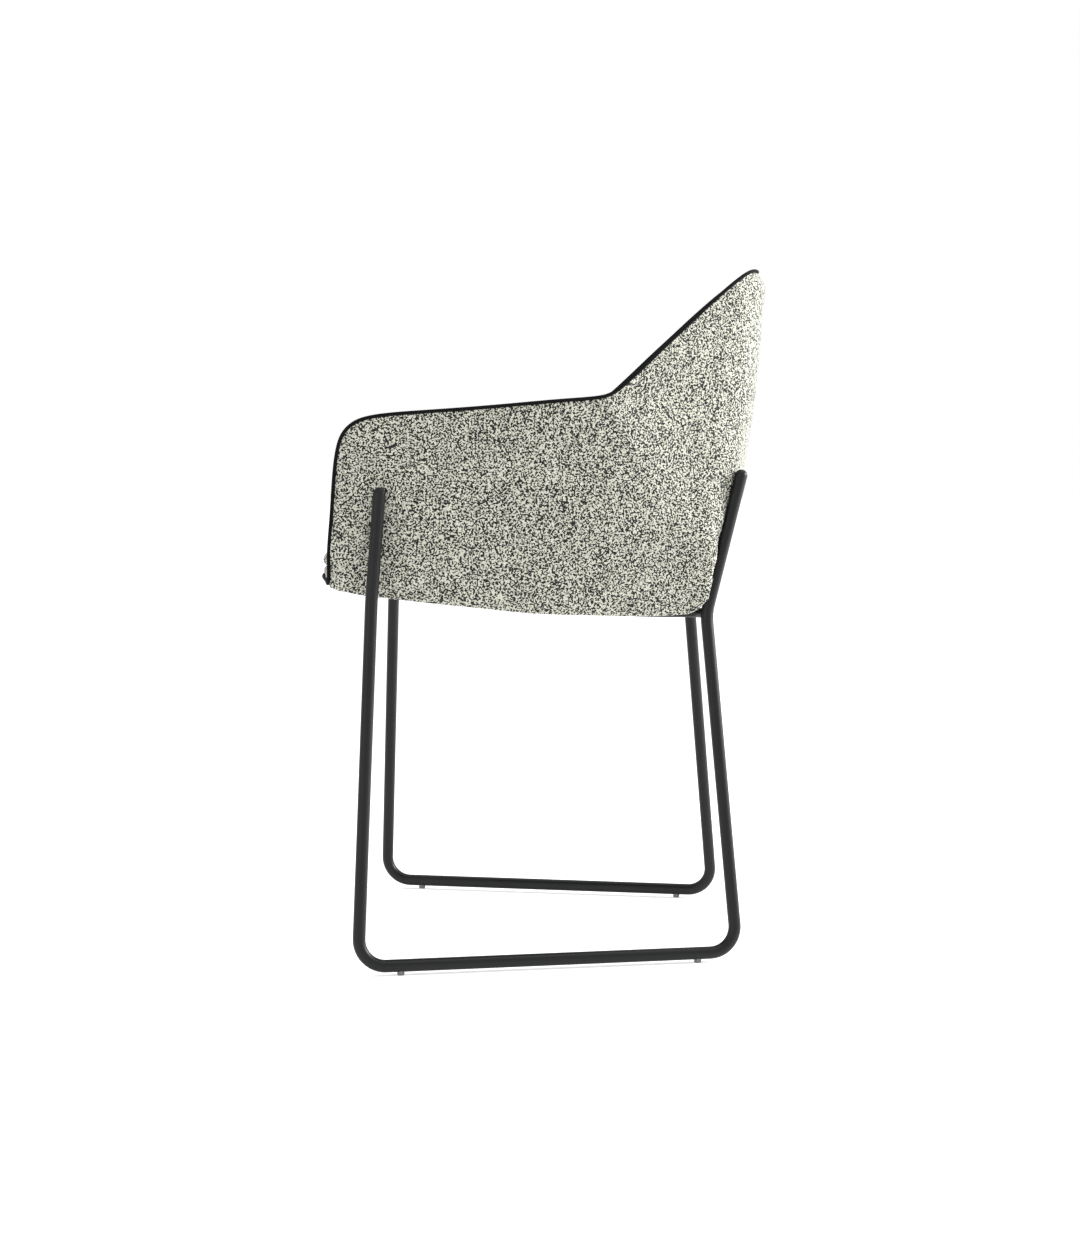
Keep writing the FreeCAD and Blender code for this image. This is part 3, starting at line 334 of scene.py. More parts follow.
# the fold is soft: about 25 mm wide, tighter towards the arm
soft = ease(1 - d_fold / 26.0) * (1 - fixed) * 0.6
OUT = laplace(OUT, edges, soft, 9)
OUT = laplace(OUT, edges, 0.5 * (1 - fixed), 1)
nrm = vertex_normals(OUT, faces)
if np.sum(nrm[:, :2] * OUT[:, :2]) < 0:
    nrm = -nrm
print("outer grid", N, "rows", NG, NT, "columns", NW)

# the lower rear corners stand out as a rounded lip beside the rod
for sx in (1, -1):
    plan_d = np.hypot(OUT[:, 0] - sx * 179.0, OUT[:, 1] - 196.0)
    w = (np.exp(-((OUT[:, 2] - 401.0) / 13.0) ** 2) + 0.25 * np.exp(-((OUT[:, 2] - 427.0) / 24.0) ** 2)) * np.exp(-(plan_d / 10.0) ** 2)
    OUT = OUT + w[:, None] * np.array([sx * 1.6, 5.0, 0.0])

# ------------------------------------------------------------------ gentle life in the cloth
def waves(P, scale, seed):
    rng = np.random.default_rng(seed)
    out = np.zeros(len(P))
    for _ in range(7):
        k = rng.normal(size=3) * 2 * np.pi / scale
        out += np.sin(P @ k + rng.uniform(0, 2 * np.pi)) / 7.0
    return out


calm = ease(s_rim / 22.0)
OUT_D = OUT + nrm * (0.55 * waves(OUT, 110.0, 3) * calm)[:, None]
# two fine wrinkles that run down from the arm and wing corner, beside the fold
for (a, b, c, depth, wdt) in (((211.5, 84.0, 612.0), (209.0, 104.0, 575.0), (200.0, 122.0, 535.0), 0.9, 2.6),
                              ((211.0, 74.0, 606.0), (209.5, 88.0, 578.0), (205.0, 100.0, 552.0), 0.45, 3.2)):
    for sx in (1, -1):
        line = Curve([a, b, c])(np.linspace(0, 1, 60)) * np.array([sx, 1, 1])
        dist = np.array([np.min(np.linalg.norm(line - p, axis=1)) for p in OUT])
        t = np.array([np.argmin(np.linalg.norm(line - p, axis=1)) for p in OUT]) / 59.0
        OUT_D = OUT_D - nrm * (depth * np.exp(-(dist / wdt) ** 2) * np.sin(np.pi * np.clip(0.08 + 0.92 * t, 0, 1)) ** 0.6)[:, None]
OUT_D[fixed > 0] = OUT[fixed > 0]

# the rear rods press lightly on the cover
for sx in (1, -1):
    a, b = (np.array(p) * np.array([sx, 1, 1]) for p in REAR_ROD)
    ax = (b - a) / np.linalg.norm(b - a)
    rel = OUT_D - a
    h = rel @ ax
    rad = rel - h[:, None] * ax
    r = np.linalg.norm(rad, axis=1)
    reach = ease((h - 45) / 40.0) * ease((np.linalg.norm(b - a) + 26 - h) / 22.0) * (1 - ease((r - 11.0) / 9.0))
    pull = np.where(r > 7.35, (r - 7.35) * 0.8 * reach, 0)
    OUT_D = OUT_D - rad / np.maximum(r, 1e-6)[:, None] * pull[:, None]
    push = np.where((h > -12) & (h < np.linalg.norm(b - a) + 7) & (r < 7.35), 7.35 - r, 0)
    OUT_D = OUT_D + rad / np.maximum(r, 1e-6)[:, None] * push[:, None]

# ------------------------------------------------------------------ inner surface
dirn = -laplace(nrm.copy(), edges, np.full(N, 0.6), 60)
dirn[:, 2] *= 0.25
dirn /= np.linalg.norm(dirn, axis=1, keepdims=True)
full = np.where(is_back, 36.5 + 10.5 * ease(d_fold / 75.0), 36.5)
edge_share = np.where(is_back, 0.62, 0.74)
D = full * (edge_share + (1 - edge_share) * ease(s_rim / 70.0))
roll = 15.0
D = D * (1 - (1 - np.clip(s_rim / roll, 0, 1)) ** 2.3) ** (1 / 2.3)
# nothing stands above the outline in side view
cand = np.arange(0, 52.1, 0.5)
lim = np.full(N, 60.0)
high = OUT[:, 2] > 585
for i in np.where(high & is_back)[0]:
    p = OUT[i][None] + dirn[i][None] * cand[:, None]
    gap = (line_z(p[:, 1]) - p[:, 2]) * 0.72
    ok = gap >= np.minimum(4.5, 0.22 * cand) - 0.05
    bad = np.where(~ok)[0]
    lim[i] = cand[max(bad[0] - 1, 0)] if len(bad) else 60.0
D = np.minimum(D, lim)
D = laplace(D[:, None], edges, 0.5 * (1 - fixed), 3)[:, 0]
D = np.minimum(D, np.maximum(lim, 0))
floor_z = 403.5 + SLOPE * OUT[:, 1] + 12.0 + 2.0
below = OUT[:, 2] < floor_z
D = D + 7.0 * (1 - ease((OUT[:, 2] - floor_z - 14.0) / 42.0)) * ease((s_rim - 14.0) / 30.0)
D = D + 7.0 * np.exp(-(d_fold / 15.0) ** 2) * (1 - ease((OUT[:, 2] - floor_z - 22.0) / 36.0)) * (~below)
D = np.where(below, np.minimum(13.0, D), D)
D[rim_loop] = 0.0
D[bottom_row] = 13.0
INN = OUT + dirn * D[:, None]
free = (1 - fixed) * ease((s_rim - 12.0) / 20.0) * (~below)
INN = laplace(INN, edges, 0.5 * free, 14)
inn_n = vertex_normals(INN, faces)
if np.sum(inn_n[:, :2] * INN[:, :2]) < 0:
    inn_n = -inn_n
# seam grooves where the arm pads meet the back pad, and a slight crown on each pad
groove = np.exp(-(d_fold / 3.2) ** 2) * ease((s_rim - 4.0) / 12.0) * (~below)
crown = ease(d_fold / 60.0) * ease((s_rim - 8.0) / 60.0) * (~below)
INN = INN + inn_n * (2.6 * groove - 1.6 * crown + 0.5 * waves(INN, 95.0, 11) * calm)[:, None] * (1 - fixed)[:, None]

V = np.vstack([OUT_D, INN])
F = [f for f in faces] + [tuple(N + k for k in reversed(f)) for f in faces]
# weld the rim, close the underside with a rounded hem
remap = np.arange(2 * N)
for k in rim_loop:
    remap[N + k] = k
extra = []
down = np.array([0, 0, -1.0])
hem_rows = [bottom_row]
for depth, drop in ((1.2, 0.9), (3.6, 1.4), (8.0, 0.9)):
    row = []
    for k in bottom_row:
        extra.append(OUT[k] + dirn[k] * depth + down * drop)
        row.append(2 * N + len(extra) - 1)
    hem_rows.append(row)
hem_rows.append([N + k for k in bottom_row])
V = np.vstack([V, np.array(extra)])
remap = np.concatenate([remap, np.arange(2 * N, len(V))])
for r0, r1 in zip(hem_rows, hem_rows[1:]):
    for a, b, c, d in zip(r0, r0[1:], r1[1:], r1):
        F.append((a, d, c, b))
# the two little ends of the hem at the front corners
for end in (0, -1):
    F.append(tuple(r[end] for r in hem_rows))
F = [tuple(int(remap[k]) for k in f) for f in F]
clean = []
for f in F:
    g = [k for i, k in enumerate(f) if k != f[i - 1]]
    if len(set(g)) >= 3:
        clean.append(tuple(g))
used = sorted({k for f in clean for k in f})
new = {k: i for i, k in enumerate(used)}
shell = make_mesh("upholstered_shell", V[used], [tuple(new[k] for k in f) for f in clean])
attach(shell, "root")
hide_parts("left_outer_cover", "right_outer_cover", "back_outer_cover", "left_arm_foam", "right_arm_foam", "back_foam")


# ------------------------------------------------------------------ tubes and stitches
def frame_along(P):
    T = np.gradient(P, axis=0)
    T /= np.linalg.norm(T, axis=1, keepdims=True)
    n = np.cross(T[0], [0, 0, 1.0])
    if np.linalg.norm(n) < 1e-3:
        n = np.cross(T[0], [1.0, 0, 0])
    ns = []
    for t in T:
        n = n - t * (n @ t)
        n /= np.linalg.norm(n)
        ns.append(n.copy())
    ns = np.array(ns)
    return T, ns, np.cross(T, ns)


def tube(P, radius, sides=12, ripple=0.0):
    """Closed-ended tube along a polyline; a slight ripple in its radius is the pull of the stitches."""
    T, A, B = frame_along(P)
    s = np.r_[0, np.cumsum(np.linalg.norm(np.diff(P, axis=0), axis=1))]
    r = radius * (1 + ripple * np.sin(2 * np.pi * s / 3.6))
    r[0] *= 0.6
    r[-1] *= 0.6
    v, f = [], []
    for i in range(len(P)):
        for k in range(sides):
            a = 2 * np.pi * k / sides
            v.append(P[i] + r[i] * (math.cos(a) * A[i] + math.sin(a) * B[i]))
    for i in range(len(P) - 1):
        for k in range(sides):
            a, b = i * sides + k, i * sides + (k + 1) % sides
            f.append((a, b, b + sides, a + sides))
    f.append(tuple(range(sides)))
    f.append(tuple((len(P) - 1) * sides + k for k in reversed(range(sides))))
    return v, f


def stitches(points, normals_, pitch=4.6, long=3.2, radius=0.34):
    """Short threads laid along a line, each dipping into the cloth at its ends."""
    d = np.r_[0, np.cumsum(np.linalg.norm(np.diff(points, axis=0), axis=1))]
    v, f = [], []
    for s in np.arange(pitch / 2, d[-1] - long, pitch):
        t = np.linspace(0, 1, 6)
        p = np.stack([np.interp(s + t * long, d, points[:, k]) for k in range(3)], -1)
        n = np.stack([np.interp(s + t * long, d, normals_[:, k]) for k in range(3)], -1)
        p = p + n * (0.28 * np.sin(np.pi * t) ** 0.7 - 0.16)[:, None]
        vv, ff = tube(p, radius, 6)
        f += [tuple(k + len(v) for k in q) for q in ff]
        v += vv
    return v, f


rim_pts_half = FRONT_PIPE + RIM_FRONT[1:] + RIM_ARM[1:] + RIM_WING[1:] + RIM_TOP[1:]
thin = [rim_pts_half[0]]
for p in rim_pts_half[1:]:
    if math.dist(p, thin[-1]) >= 6.0:
        thin.append(p)
thin[-1] = rim_pts_half[-1]
loop = thin + [(-p[0], p[1], p[2]) for p in reversed(thin[1:-1])]
rim_dense = Curve(loop + [loop[0]])(np.linspace(0, 1, 4000))
rim_len = length(rim_dense)
rim_path = along(rim_dense, np.linspace(0, rim_len, int(rim_len / 1.2)))
pv, pf = tube(rim_path, 2.1, 14, ripple=0.018)
piping = make_mesh("edge_piping_sewn", pv, pf)
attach(piping, "root")
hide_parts("edge_piping")

# ------------------------------------------------------------------ front border
line_pts = FRONT_LINE + [(-x, y) for x, y in reversed(FRONT_LINE[:-1])]
line_c = Curve([(x, y, 0) for x, y in line_pts])
cols = line_c(np.linspace(0, 1, 161))
prof = [(18.0, 413.0), (9.0, 414.8), (5.4, 416.4), (3.8, 418.2), (2.9, 420.0), (2.5, 422.2), (1.2, 425.2), (0.1, 428.0), (0.4, 430.8), (2.7, 433.0), (7.5, 434.2), (16.0, 434.6), (28.0, 434.2), (42.0, 433.4)]
bv, bf = [], []
for k, (dy, z) in enumerate(prof):
    for i, p in enumerate(cols):
        pucker = 0.25 * math.sin(i * 0.9) * math.sin(math.pi * k / (len(prof) - 1)) + 0.2 * math.sin(i * 0.31 + 1.0)
        bv.append((p[0], p[1] + dy + pucker * 0.5, z + (-0.05 * (dy) if k < 3 else 0)))
nb = len(cols)
for k in range(len(prof) - 1):
    for i in range(nb - 1):
        bf.append((k * nb + i, k * nb + i + 1, (k + 1) * nb + i + 1, (k + 1) * nb + i))
border = make_mesh("front_border_cloth", bv, bf)
sol = border.modifiers.new("cloth", "SOLIDIFY")
faces_out = sum(1 if f_.normal.y < 0 else -1 for f_ in border.data.polygons) > 0
sol.thickness, sol.offset = 0.0022, (-1 if faces_out else 1)
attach(border, "root")
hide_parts("front_border")

# ------------------------------------------------------------------ seat cushion
half = CUSH
plan_pts = half + [(-x, y) for x, y in reversed(half[1:-1])]
closed = Curve([(x, y, 0) for x, y in plan_pts] + [(plan_pts[0][0], plan_pts[0][1], 0)])
plan = closed(np.linspace(0, 1, 241))[:-1, :2]


def inset(P, d):
    T = np.roll(P, -1, 0) - np.roll(P, 1, 0)
    T /= np.linalg.norm(T, axis=1, keepdims=True)
    n = np.stack([-T[:, 1], T[:, 0]], -1)
    if np.sum(n * (P.mean(0) - P)) < 0:
        n = -n
    return P + n * d


def base_z(y):
    return 403.5 + 12.0 + 5.8 + SLOPE * y


THICK = 31.0
cv, cf = [], []
prof_c = [(9.0, 0.0), (3.0, 3.0), (0.0, 9.0), (0.0, 17.0), (3.0, 23.0), (9.0, 26.0)]
m = len(plan)
for d, z in prof_c:
    q = inset(plan, 5.0 + d)
    for p in q:
        cv.append((p[0], p[1], z + base_z(p[1]) + 1.0))
for k in range(len(prof_c) - 1):
    for i in range(m):
        j = (i + 1) % m
        cf.append((k * m + i, k * m + j, (k + 1) * m + j, (k + 1) * m + i))
cf.append(tuple(range(m)))
cf.append(tuple((len(prof_c) - 1) * m + i for i in reversed(range(m))))
cushion = make_mesh("seat_cushion_soft", cv, cf)
scene = bpy.context.scene
bpy.context.view_layer.objects.active = cushion


def apply_all(ob):
    dg = bpy.context.evaluated_depsgraph_get()
    me = bpy.data.meshes.new_from_object(ob.evaluated_get(dg), depsgraph=dg)
    ob.modifiers.clear()
    ob.data = me


rm = cushion.modifiers.new("remesh", "REMESH")
rm.mode, rm.voxel_size = "VOXEL", 0.005
apply_all(cushion)
start = np.array([tuple(v.co) for v in cushion.data.vertices])
cl = cushion.modifiers.new("cloth", "CLOTH")
st = cl.settings
st.quality = 6
st.mass = 0.3
st.tension_stiffness = st.compression_stiffness = 18
st.shear_stiffness = 8
st.bending_stiffness = 2.5
st.use_pressure = True
st.uniform_pressure_force = 4.0
st.effector_weights.gravity = 0
cl.collision_settings.use_collision = False
cl.collision_settings.use_self_collision = False
cl.point_cache.frame_start, cl.point_cache.frame_end = 1, 20
scene.frame_start, scene.frame_end = 1, 20
for fr in range(1, 21):
    scene.frame_set(fr)
apply_all(cushion)
scene.frame_set(1)
now = np.array([tuple(v.co) for v in cushion.data.vertices])
move = now - start
far = np.linalg.norm(move, axis=1)
print("cushion: moved mean %.4f max %.4f" % (far.mean(), far.max()))
cap = 0.012
now = start + move * np.minimum(1, cap / np.maximum(far, 1e-9))[:, None]
now = now * 1000.0
now[:, 1] -= YS
me = cushion.data
ce = np.array([tuple(e.vertices) for e in me.edges])
now = laplace(now, ce, np.full(len(now), 0.5), 4)
# brought back to the plan that the arms and the back leave for it
mid = (now.max(0) + now.min(0)) / 2
half_x = (now[:, 0].max() - now[:, 0].min()) / 2
now[:, 0] = (now[:, 0] - mid[0]) * (201.5 / half_x)
lo_y, hi_y = now[:, 1].min(), now[:, 1].max()
now[:, 1] = -239.4 + (now[:, 1] - lo_y) * (163.5 + 239.4) / (hi_y - lo_y)
rel = now[:, 2] - base_z(now[:, 1])
edge_d = np.array([np.min(np.hypot(plan[:, 0] - p[0], plan[:, 1] - p[1])) for p in now])
crown = THICK + 3.2 * (1 - np.exp(-edge_d / 55.0))
top_rel = np.percentile(rel, 98)
low_rel = np.percentile(rel, 2)
t = (rel - low_rel) / (top_rel - low_rel)
rel = t * crown
rel = np.where(rel < 0.4, 0.4 + 0.15 * (rel - 0.4), rel)
rel += 0.7 * waves(now, 120.0, 21) * np.clip(t, 0, 1)
now[:, 2] = base_z(now[:, 1]) + np.maximum(rel, -0.3) - 1.2
# the seam round the top of the boxing pulls the cloth in
pull = 1.5 * np.exp(-((edge_d - 5.5) / 1.9) ** 2) * (t > 0.5)
cen = np.array([0.0, -40.0])
now[:, 2] -= pull
me.vertices.foreach_set("co", ((now + np.array([0, YS, 0])) / 1000.0).ravel())
me.polygons.foreach_set("use_smooth", [True] * len(me.polygons))
me.update()
sub = cushion.modifiers.new("smooth", "SUBSURF")
sub.levels = sub.render_levels = 1
apply_all(cushion)
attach(cushion, "root")
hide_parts("seat_cushion")

# stitches: beside the cushion's seam and beside the seams of the arm pads and the back pad
from mathutils.bvhtree import BVHTree

sv, sf = [], []


def add(v, f):
    global sv, sf
    sf += [tuple(k + len(sv) for k in q) for q in f]
    sv += list(v)


bm = bmesh.new()
bm.from_mesh(cushion.data)
tree_c = BVHTree.FromBMesh(bm)
bm.free()
ring = inset(np.array(closed(np.linspace(0, 1, 900))[:-1, :2]), 8.6)
pts, nn = [], []
for p in np.vstack([ring, ring[:1]]):
    w = metres([(p[0], p[1], 700.0)])[0]
    hit, nor, _, _ = tree_c.ray_cast(Vector(w), Vector((0, 0, -1)))
    if hit is not None:
        pts.append((hit.x * 1000, hit.y * 1000 - YS, hit.z * 1000))
        nn.append(tuple(nor))
add(*stitches(np.array(pts), np.array(nn)))

bm = bmesh.new()
bm.from_mesh(shell.data)
tree_s = BVHTree.FromBMesh(bm)
bm.free()
fd = fold_c(np.linspace(0.34, 0.93, 200))
fi = np.array([np.argmin(np.linalg.norm(OUT - p, axis=1)) for p in fd])
for sx in (1, -1):
    for side in (-4.6, 4.6):
        pts, nn = [], []
        base = INN[fi] * np.array([sx, 1, 1])
        base = np.stack([np.convolve(np.pad(base[:, k], 8, mode="edge"), np.ones(17) / 17, "valid") for k in range(3)], -1)
        nv = inn_n[fi] * np.array([sx, 1, 1])
        nv = np.stack([np.convolve(np.pad(nv[:, k], 8, mode="edge"), np.ones(17) / 17, "valid") for k in range(3)], -1)
        nv /= np.linalg.norm(nv, axis=1, keepdims=True)
        tt = np.gradient(base, axis=0)
        tt /= np.linalg.norm(tt, axis=1, keepdims=True)
        cross = np.cross(tt, nv)
        for p, n, c in zip(base + cross * side, nv, cross):
            w = Vector(metres([p])[0])
            hit, nor, _, dist = tree_s.ray_cast(w - Vector(n) * 0.03, Vector(n), 0.06)
            if hit is None:
                hit, nor, _, dist = tree_s.ray_cast(w + Vector(n) * -0.03, Vector(n), 0.06)
            if hit is not None:
                pts.append((hit.x * 1000, hit.y * 1000 - YS, hit.z * 1000))
                nn.append(tuple(-Vector(n)))
        if len(pts) > 20:
            add(*stitches(np.array(pts), np.array(nn)))
thread = make_mesh("seam_stitches", sv, sf)
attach(thread, "root")

# ------------------------------------------------------------------ lining cloth under the seat board
DUST = [(0, -222.0), (140, -216.0), (200, -205.0), (205.0, -150.0), (203.0, -53.0), (184.0, 50.0), (169.0, 110.0), (155.0, 150.0), (146.0, 168.0), (0, 168.0)]
poly = np.array(DUST + [(-x, y) for x, y in reversed(DUST[1:-1])], float) * np.array([1.045, 1.035])


def inside(p):
    x, y = p
    c = False
    for a, b in zip(poly, np.roll(poly, -1, 0)):
        if (a[1] > y) != (b[1] > y) and x < (b[0] - a[0]) * (y - a[1]) / (b[1] - a[1]) + a[0]:
            c = not c
    return c


def nearest_edge(p):
    best, at = 1e9, None
    for a, b in zip(poly, np.roll(poly, -1, 0)):
        t_ = np.clip(((p - a) @ (b - a)) / ((b - a) @ (b - a)), 0, 1)
        q = a + (b - a) * t_
        d_ = np.linalg.norm(p - q)
        if d_ < best:
            best, at = d_, q
    return best, at


bolts = [np.array((sx * 78.0, 112.0 + dy)) for sx in (-1, 1) for dy in (-22, 22)]
gx, gy = np.arange(-222, 222.1, 4.0), np.arange(-238, 182.1, 4.0)
gid, lv, lf = {}, [], []
for i in range(len(gx) - 1):
    for j in range(len(gy) - 1):
        c = np.array((gx[i] + 2.0, gy[j] + 2.0))
        if not inside(c) or min(np.linalg.norm(c - b) for b in bolts) < 6.0:
            continue
        q = []
        for di, dj in ((0, 0), (1, 0), (1, 1), (0, 1)):
            key = (i + di, j + dj)
            if key not in gid:
                gid[key] = len(lv)
                lv.append([gx[key[0]], gy[key[1]]])
            q.append(gid[key])
        lf.append(tuple(q))
lv = np.array(lv)
count = np.zeros(len(lv))
for f in lf:
    for k in f:
        count[k] += 1
lz = np.zeros(len(lv))
for k in range(len(lv)):
    dist, at = nearest_edge(lv[k])
    db = [np.linalg.norm(lv[k] - b) for b in bolts]
    if count[k] < 4:
        if min(db) < 12:
            b = bolts[int(np.argmin(db))]
            lv[k] = b + (lv[k] - b) / min(db) * 5.2
        else:
            lv[k] = at
            dist = 0.0
    hold = ease(dist / 60.0) * ease((min(db) - 5.0) / 40.0)
    folds = 0.35 * math.sin(lv[k][0] / 7.0 + 0.6 * math.sin(lv[k][1] / 31.0)) * math.exp(-dist / 26.0) * ease(dist / 4.0)
    lz[k] = 403.5 + SLOPE * lv[k][1] - 0.9 - 2.6 * hold + folds * 0.6
lining = make_mesh("underside_lining_cloth", np.c_[lv, lz], lf)
sol = lining.modifiers.new("cloth", "SOLIDIFY")
sol.thickness, sol.offset = 0.0007, 0
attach(lining, "root")
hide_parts("underside_cover")


# ------------------------------------------------------------------ materials
class Nodes:
    def __init__(self, name):
        self.m = bpy.data.materials.new(name)
        self.m.use_nodes = True
        self.t = self.m.node_tree
        self.t.nodes.clear()
        self.out = self.t.nodes.new("ShaderNodeOutputMaterial")
        self.co = self.t.nodes.new("ShaderNodeTexCoord").outputs["Object"]

    def add(self, kind, **props):
        n = self.t.nodes.new(kind)
        for k, v in props.items():
            setattr(n, k, v)
        return n

    def link(self, a, b):
        self.t.links.new(a, b)

    def noise(self, scale, detail=2.0, rough=0.5, distort=0.0, co=None):
        n = self.add("ShaderNodeTexNoise")
        n.inputs["Scale"].default_value = scale
        n.inputs["Detail"].default_value = detail
        n.inputs["Roughness"].default_value = rough
        n.inputs["Distortion"].default_value = distort
        self.link(co if co is not None else self.co, n.inputs["Vector"])
        return n.outputs["Fac"]

    def ramp(self, fac, stops, interp="LINEAR"):
        r = self.add("ShaderNodeValToRGB")
        r.color_ramp.interpolation = interp
        el = r.color_ramp.elements
        while len(el) < len(stops):
            el.new(0.5)
        for e, (p, c) in zip(el, stops):
            e.position = p
            e.color = (*c, 1) if len(c) == 3 else c
        self.link(fac, r.inputs["Fac"])
        return r.outputs["Color"]

    def math(self, op, a, b=None, clamp=False):
        n = self.add("ShaderNodeMath", operation=op, use_clamp=clamp)
        for s, v in zip(n.inputs, (a, b)):
            if v is None:
                continue
            if isinstance(v, (int, float)):
                s.default_value = v
            else:
                self.link(v, s)
        return n.outputs[0]

    def mix(self, fac, a, b, mode="MIX"):
        n = self.add("ShaderNodeMix", data_type="RGBA", blend_type=mode)
        for s, v in ((n.inputs[0], fac), (n.inputs[6], a), (n.inputs[7], b)):
            if isinstance(v, (int, float)):
                s.default_value = v
            elif isinstance(v, tuple):
                s.default_value = (*v, 1)
            else:
                self.link(v, s)
        return n.outputs[2]

    def bump(self, height, distance, strength=1.0, normal=None):
        n = self.add("ShaderNodeBump")
        n.inputs["Strength"].default_value = strength
        n.inputs["Distance"].default_value = distance
        self.link(height, n.inputs["Height"])
        if normal is not None:
            self.link(normal, n.inputs["Normal"])
        return n.outputs["Normal"]

    def bsdf(self, color=None, rough=0.5, metallic=0.0, normal=None, sheen=0.0, spec=0.5, coat=0.0):
        b = self.add("ShaderNodeBsdfPrincipled")
        for key, v in (("Base Color", color), ("Roughness", rough), ("Metallic", metallic), ("Normal", normal),
                       ("Sheen Weight", sheen), ("Specular IOR Level", spec), ("Coat Weight", coat)):
            if v is None:
                continue
            s = b.inputs[key]
            if isinstance(v, (int, float)):
                s.default_value = v
            elif isinstance(v, tuple):
                s.default_value = (*v, 1)
            else:
                self.link(v, s)
        if sheen:
            b.inputs["Sheen Roughness"].default_value = 0.55
        self.link(b.outputs[0], self.out.inputs["Surface"])
        return self.m


def speckled():
    """Woven wool: ivory ground with near-black and ink-blue flecks, short and worm-like."""
    n = Nodes("speckled_fabric")
    warp = n.add("ShaderNodeMapping")
    n.link(n.co, warp.inputs["Vector"])
    warp.inputs["Scale"].default_value = (1.0, 1.0, 1.12)
    c = warp.outputs["Vector"]
    worm = n.noise(480.0, 0.0, 0.45, 0.5, c)
    dots = n.noise(820.0, 0.0, 0.5, 0.2, c)
    grain = n.noise(1500.0, 2.0, 0.6, 0.0, c)
    s = n.math("ADD", n.math("MULTIPLY", worm, 0.60), n.math("ADD", n.math("MULTIPLY", dots, 0.34), n.math("MULTIPLY", grain, 0.06)))
    fleck = n.ramp(s, [(0.500, (1, 1, 1)), (0.514, (0, 0, 0))])
    tint = n.noise(60.0, 2.0, 0.6)
    ivory = n.ramp(tint, [(0.3, (0.458, 0.455, 0.382)), (0.7, (0.548, 0.545, 0.462))])
    ink = n.ramp(n.noise(180.0, 1.0, 0.5), [(0.40, (0.006, 0.006, 0.005)), (0.62, (0.010, 0.011, 0.013))])
    col = n.mix(fleck, ivory, ink)
    fine = n.noise(1200.0, 1.0, 0.5)
    col = n.mix(0.16, col, n.ramp(fine, [(0.3, (0.10, 0.10, 0.10)), (0.7, (0.9, 0.9, 0.9))]), "OVERLAY")
    h = n.math("ADD", n.math("MULTIPLY", dots, 0.6), n.math("MULTIPLY", fine, 0.4))
    return n.bsdf(col, 0.92, 0.0, n.bump(h, 0.0009, 0.55), sheen=0.18, spec=0.25)


def piping_cloth():
    n = Nodes("piping_cloth")
    f = n.noise(1400.0, 2.0, 0.6)
    col = n.ramp(f, [(0.3, (0.002, 0.002, 0.0022)), (0.75, (0.006, 0.006, 0.0065))])
    return n.bsdf(col, 0.8, 0.0, n.bump(f, 0.0004, 0.5), sheen=0.01, spec=0.08)


def lining_cloth():
    n = Nodes("lining_cloth")
    f = n.noise(900.0, 3.0, 0.7)
    col = n.ramp(f, [(0.3, (0.010, 0.010, 0.011)), (0.8, (0.030, 0.030, 0.032))])
    return n.bsdf(col, 0.95, 0.0, n.bump(f, 0.0003, 0.5), sheen=0.1, spec=0.2)


def thread_mat():
    n = Nodes("sewing_thread")
    f = n.noise(2600.0, 1.0, 0.5)
    col = n.ramp(f, [(0.3, (0.30, 0.29, 0.26)), (0.7, (0.44, 0.43, 0.39))])
    return n.bsdf(col, 0.6, 0.0, n.bump(f, 0.0001, 0.4), sheen=0.1, spec=0.4)


def paint():
    n = Nodes("frame_paint")
    f = n.noise(900.0, 2.0, 0.5)
    wide = n.noise(14.0, 2.0, 0.5)
    col = n.ramp(wide, [(0.3, (0.0046, 0.0050, 0.0053)), (0.7, (0.0068, 0.0072, 0.0076))])
    rough = n.math("ADD", n.math("MULTIPLY", f, 0.10), 0.34)
    return n.bsdf(col, rough, 0.0, n.bump(f, 0.00012, 0.35), spec=0.24)


def zinc():
    n = Nodes("zinc_steel")
    f = n.noise(240.0, 3.0, 0.6)
    col = n.ramp(f, [(0.3, (0.46, 0.46, 0.47)), (0.7, (0.62, 0.62, 0.63))])
    return n.bsdf(col, n.math("ADD", n.math("MULTIPLY", f, 0.25), 0.22), 1.0, n.bump(f, 0.00015, 0.3))


def grey_plastic():
    n = Nodes("glide_plastic")
    f = n.noise(1100.0, 2.0, 0.6)
    col = n.ramp(f, [(0.3, (0.13, 0.13, 0.135)), (0.7, (0.165, 0.165, 0.17))])
    return n.bsdf(col, 0.55, 0.0, n.bump(f, 0.0001, 0.4), spec=0.4)


def birch():
    n = Nodes("birch_plywood")
    mp = n.add("ShaderNodeMapping")
    n.link(n.co, mp.inputs["Vector"])
    mp.inputs["Scale"].default_value = (1.0, 0.09, 1.0)
    g = n.noise(160.0, 4.0, 0.6, 0.6, mp.outputs["Vector"])
    col = n.ramp(g, [(0.25, (0.40, 0.26, 0.14)), (0.55, (0.58, 0.42, 0.26)), (0.8, (0.66, 0.50, 0.33))])
    return n.bsdf(col, 0.6, 0.0, n.bump(g, 0.0003, 0.4), spec=0.35)


MATS = {"frame_paint": paint(), "fastener_steel": zinc(), "glide_plastic": grey_plastic(), "plywood": birch(),
        "speckled_fabric": speckled(), "piping": piping_cloth(), "lining": lining_cloth()}
for ob, key in ((shell, "speckled_fabric"), (border, "speckled_fabric"), (cushion, "speckled_fabric"),
                (piping, "piping"), (lining, "lining")):
    ob.data.materials.clear()
    ob.data.materials.append(MATS[key])
thread.data.materials.clear()
thread.data.materials.append(thread_mat())

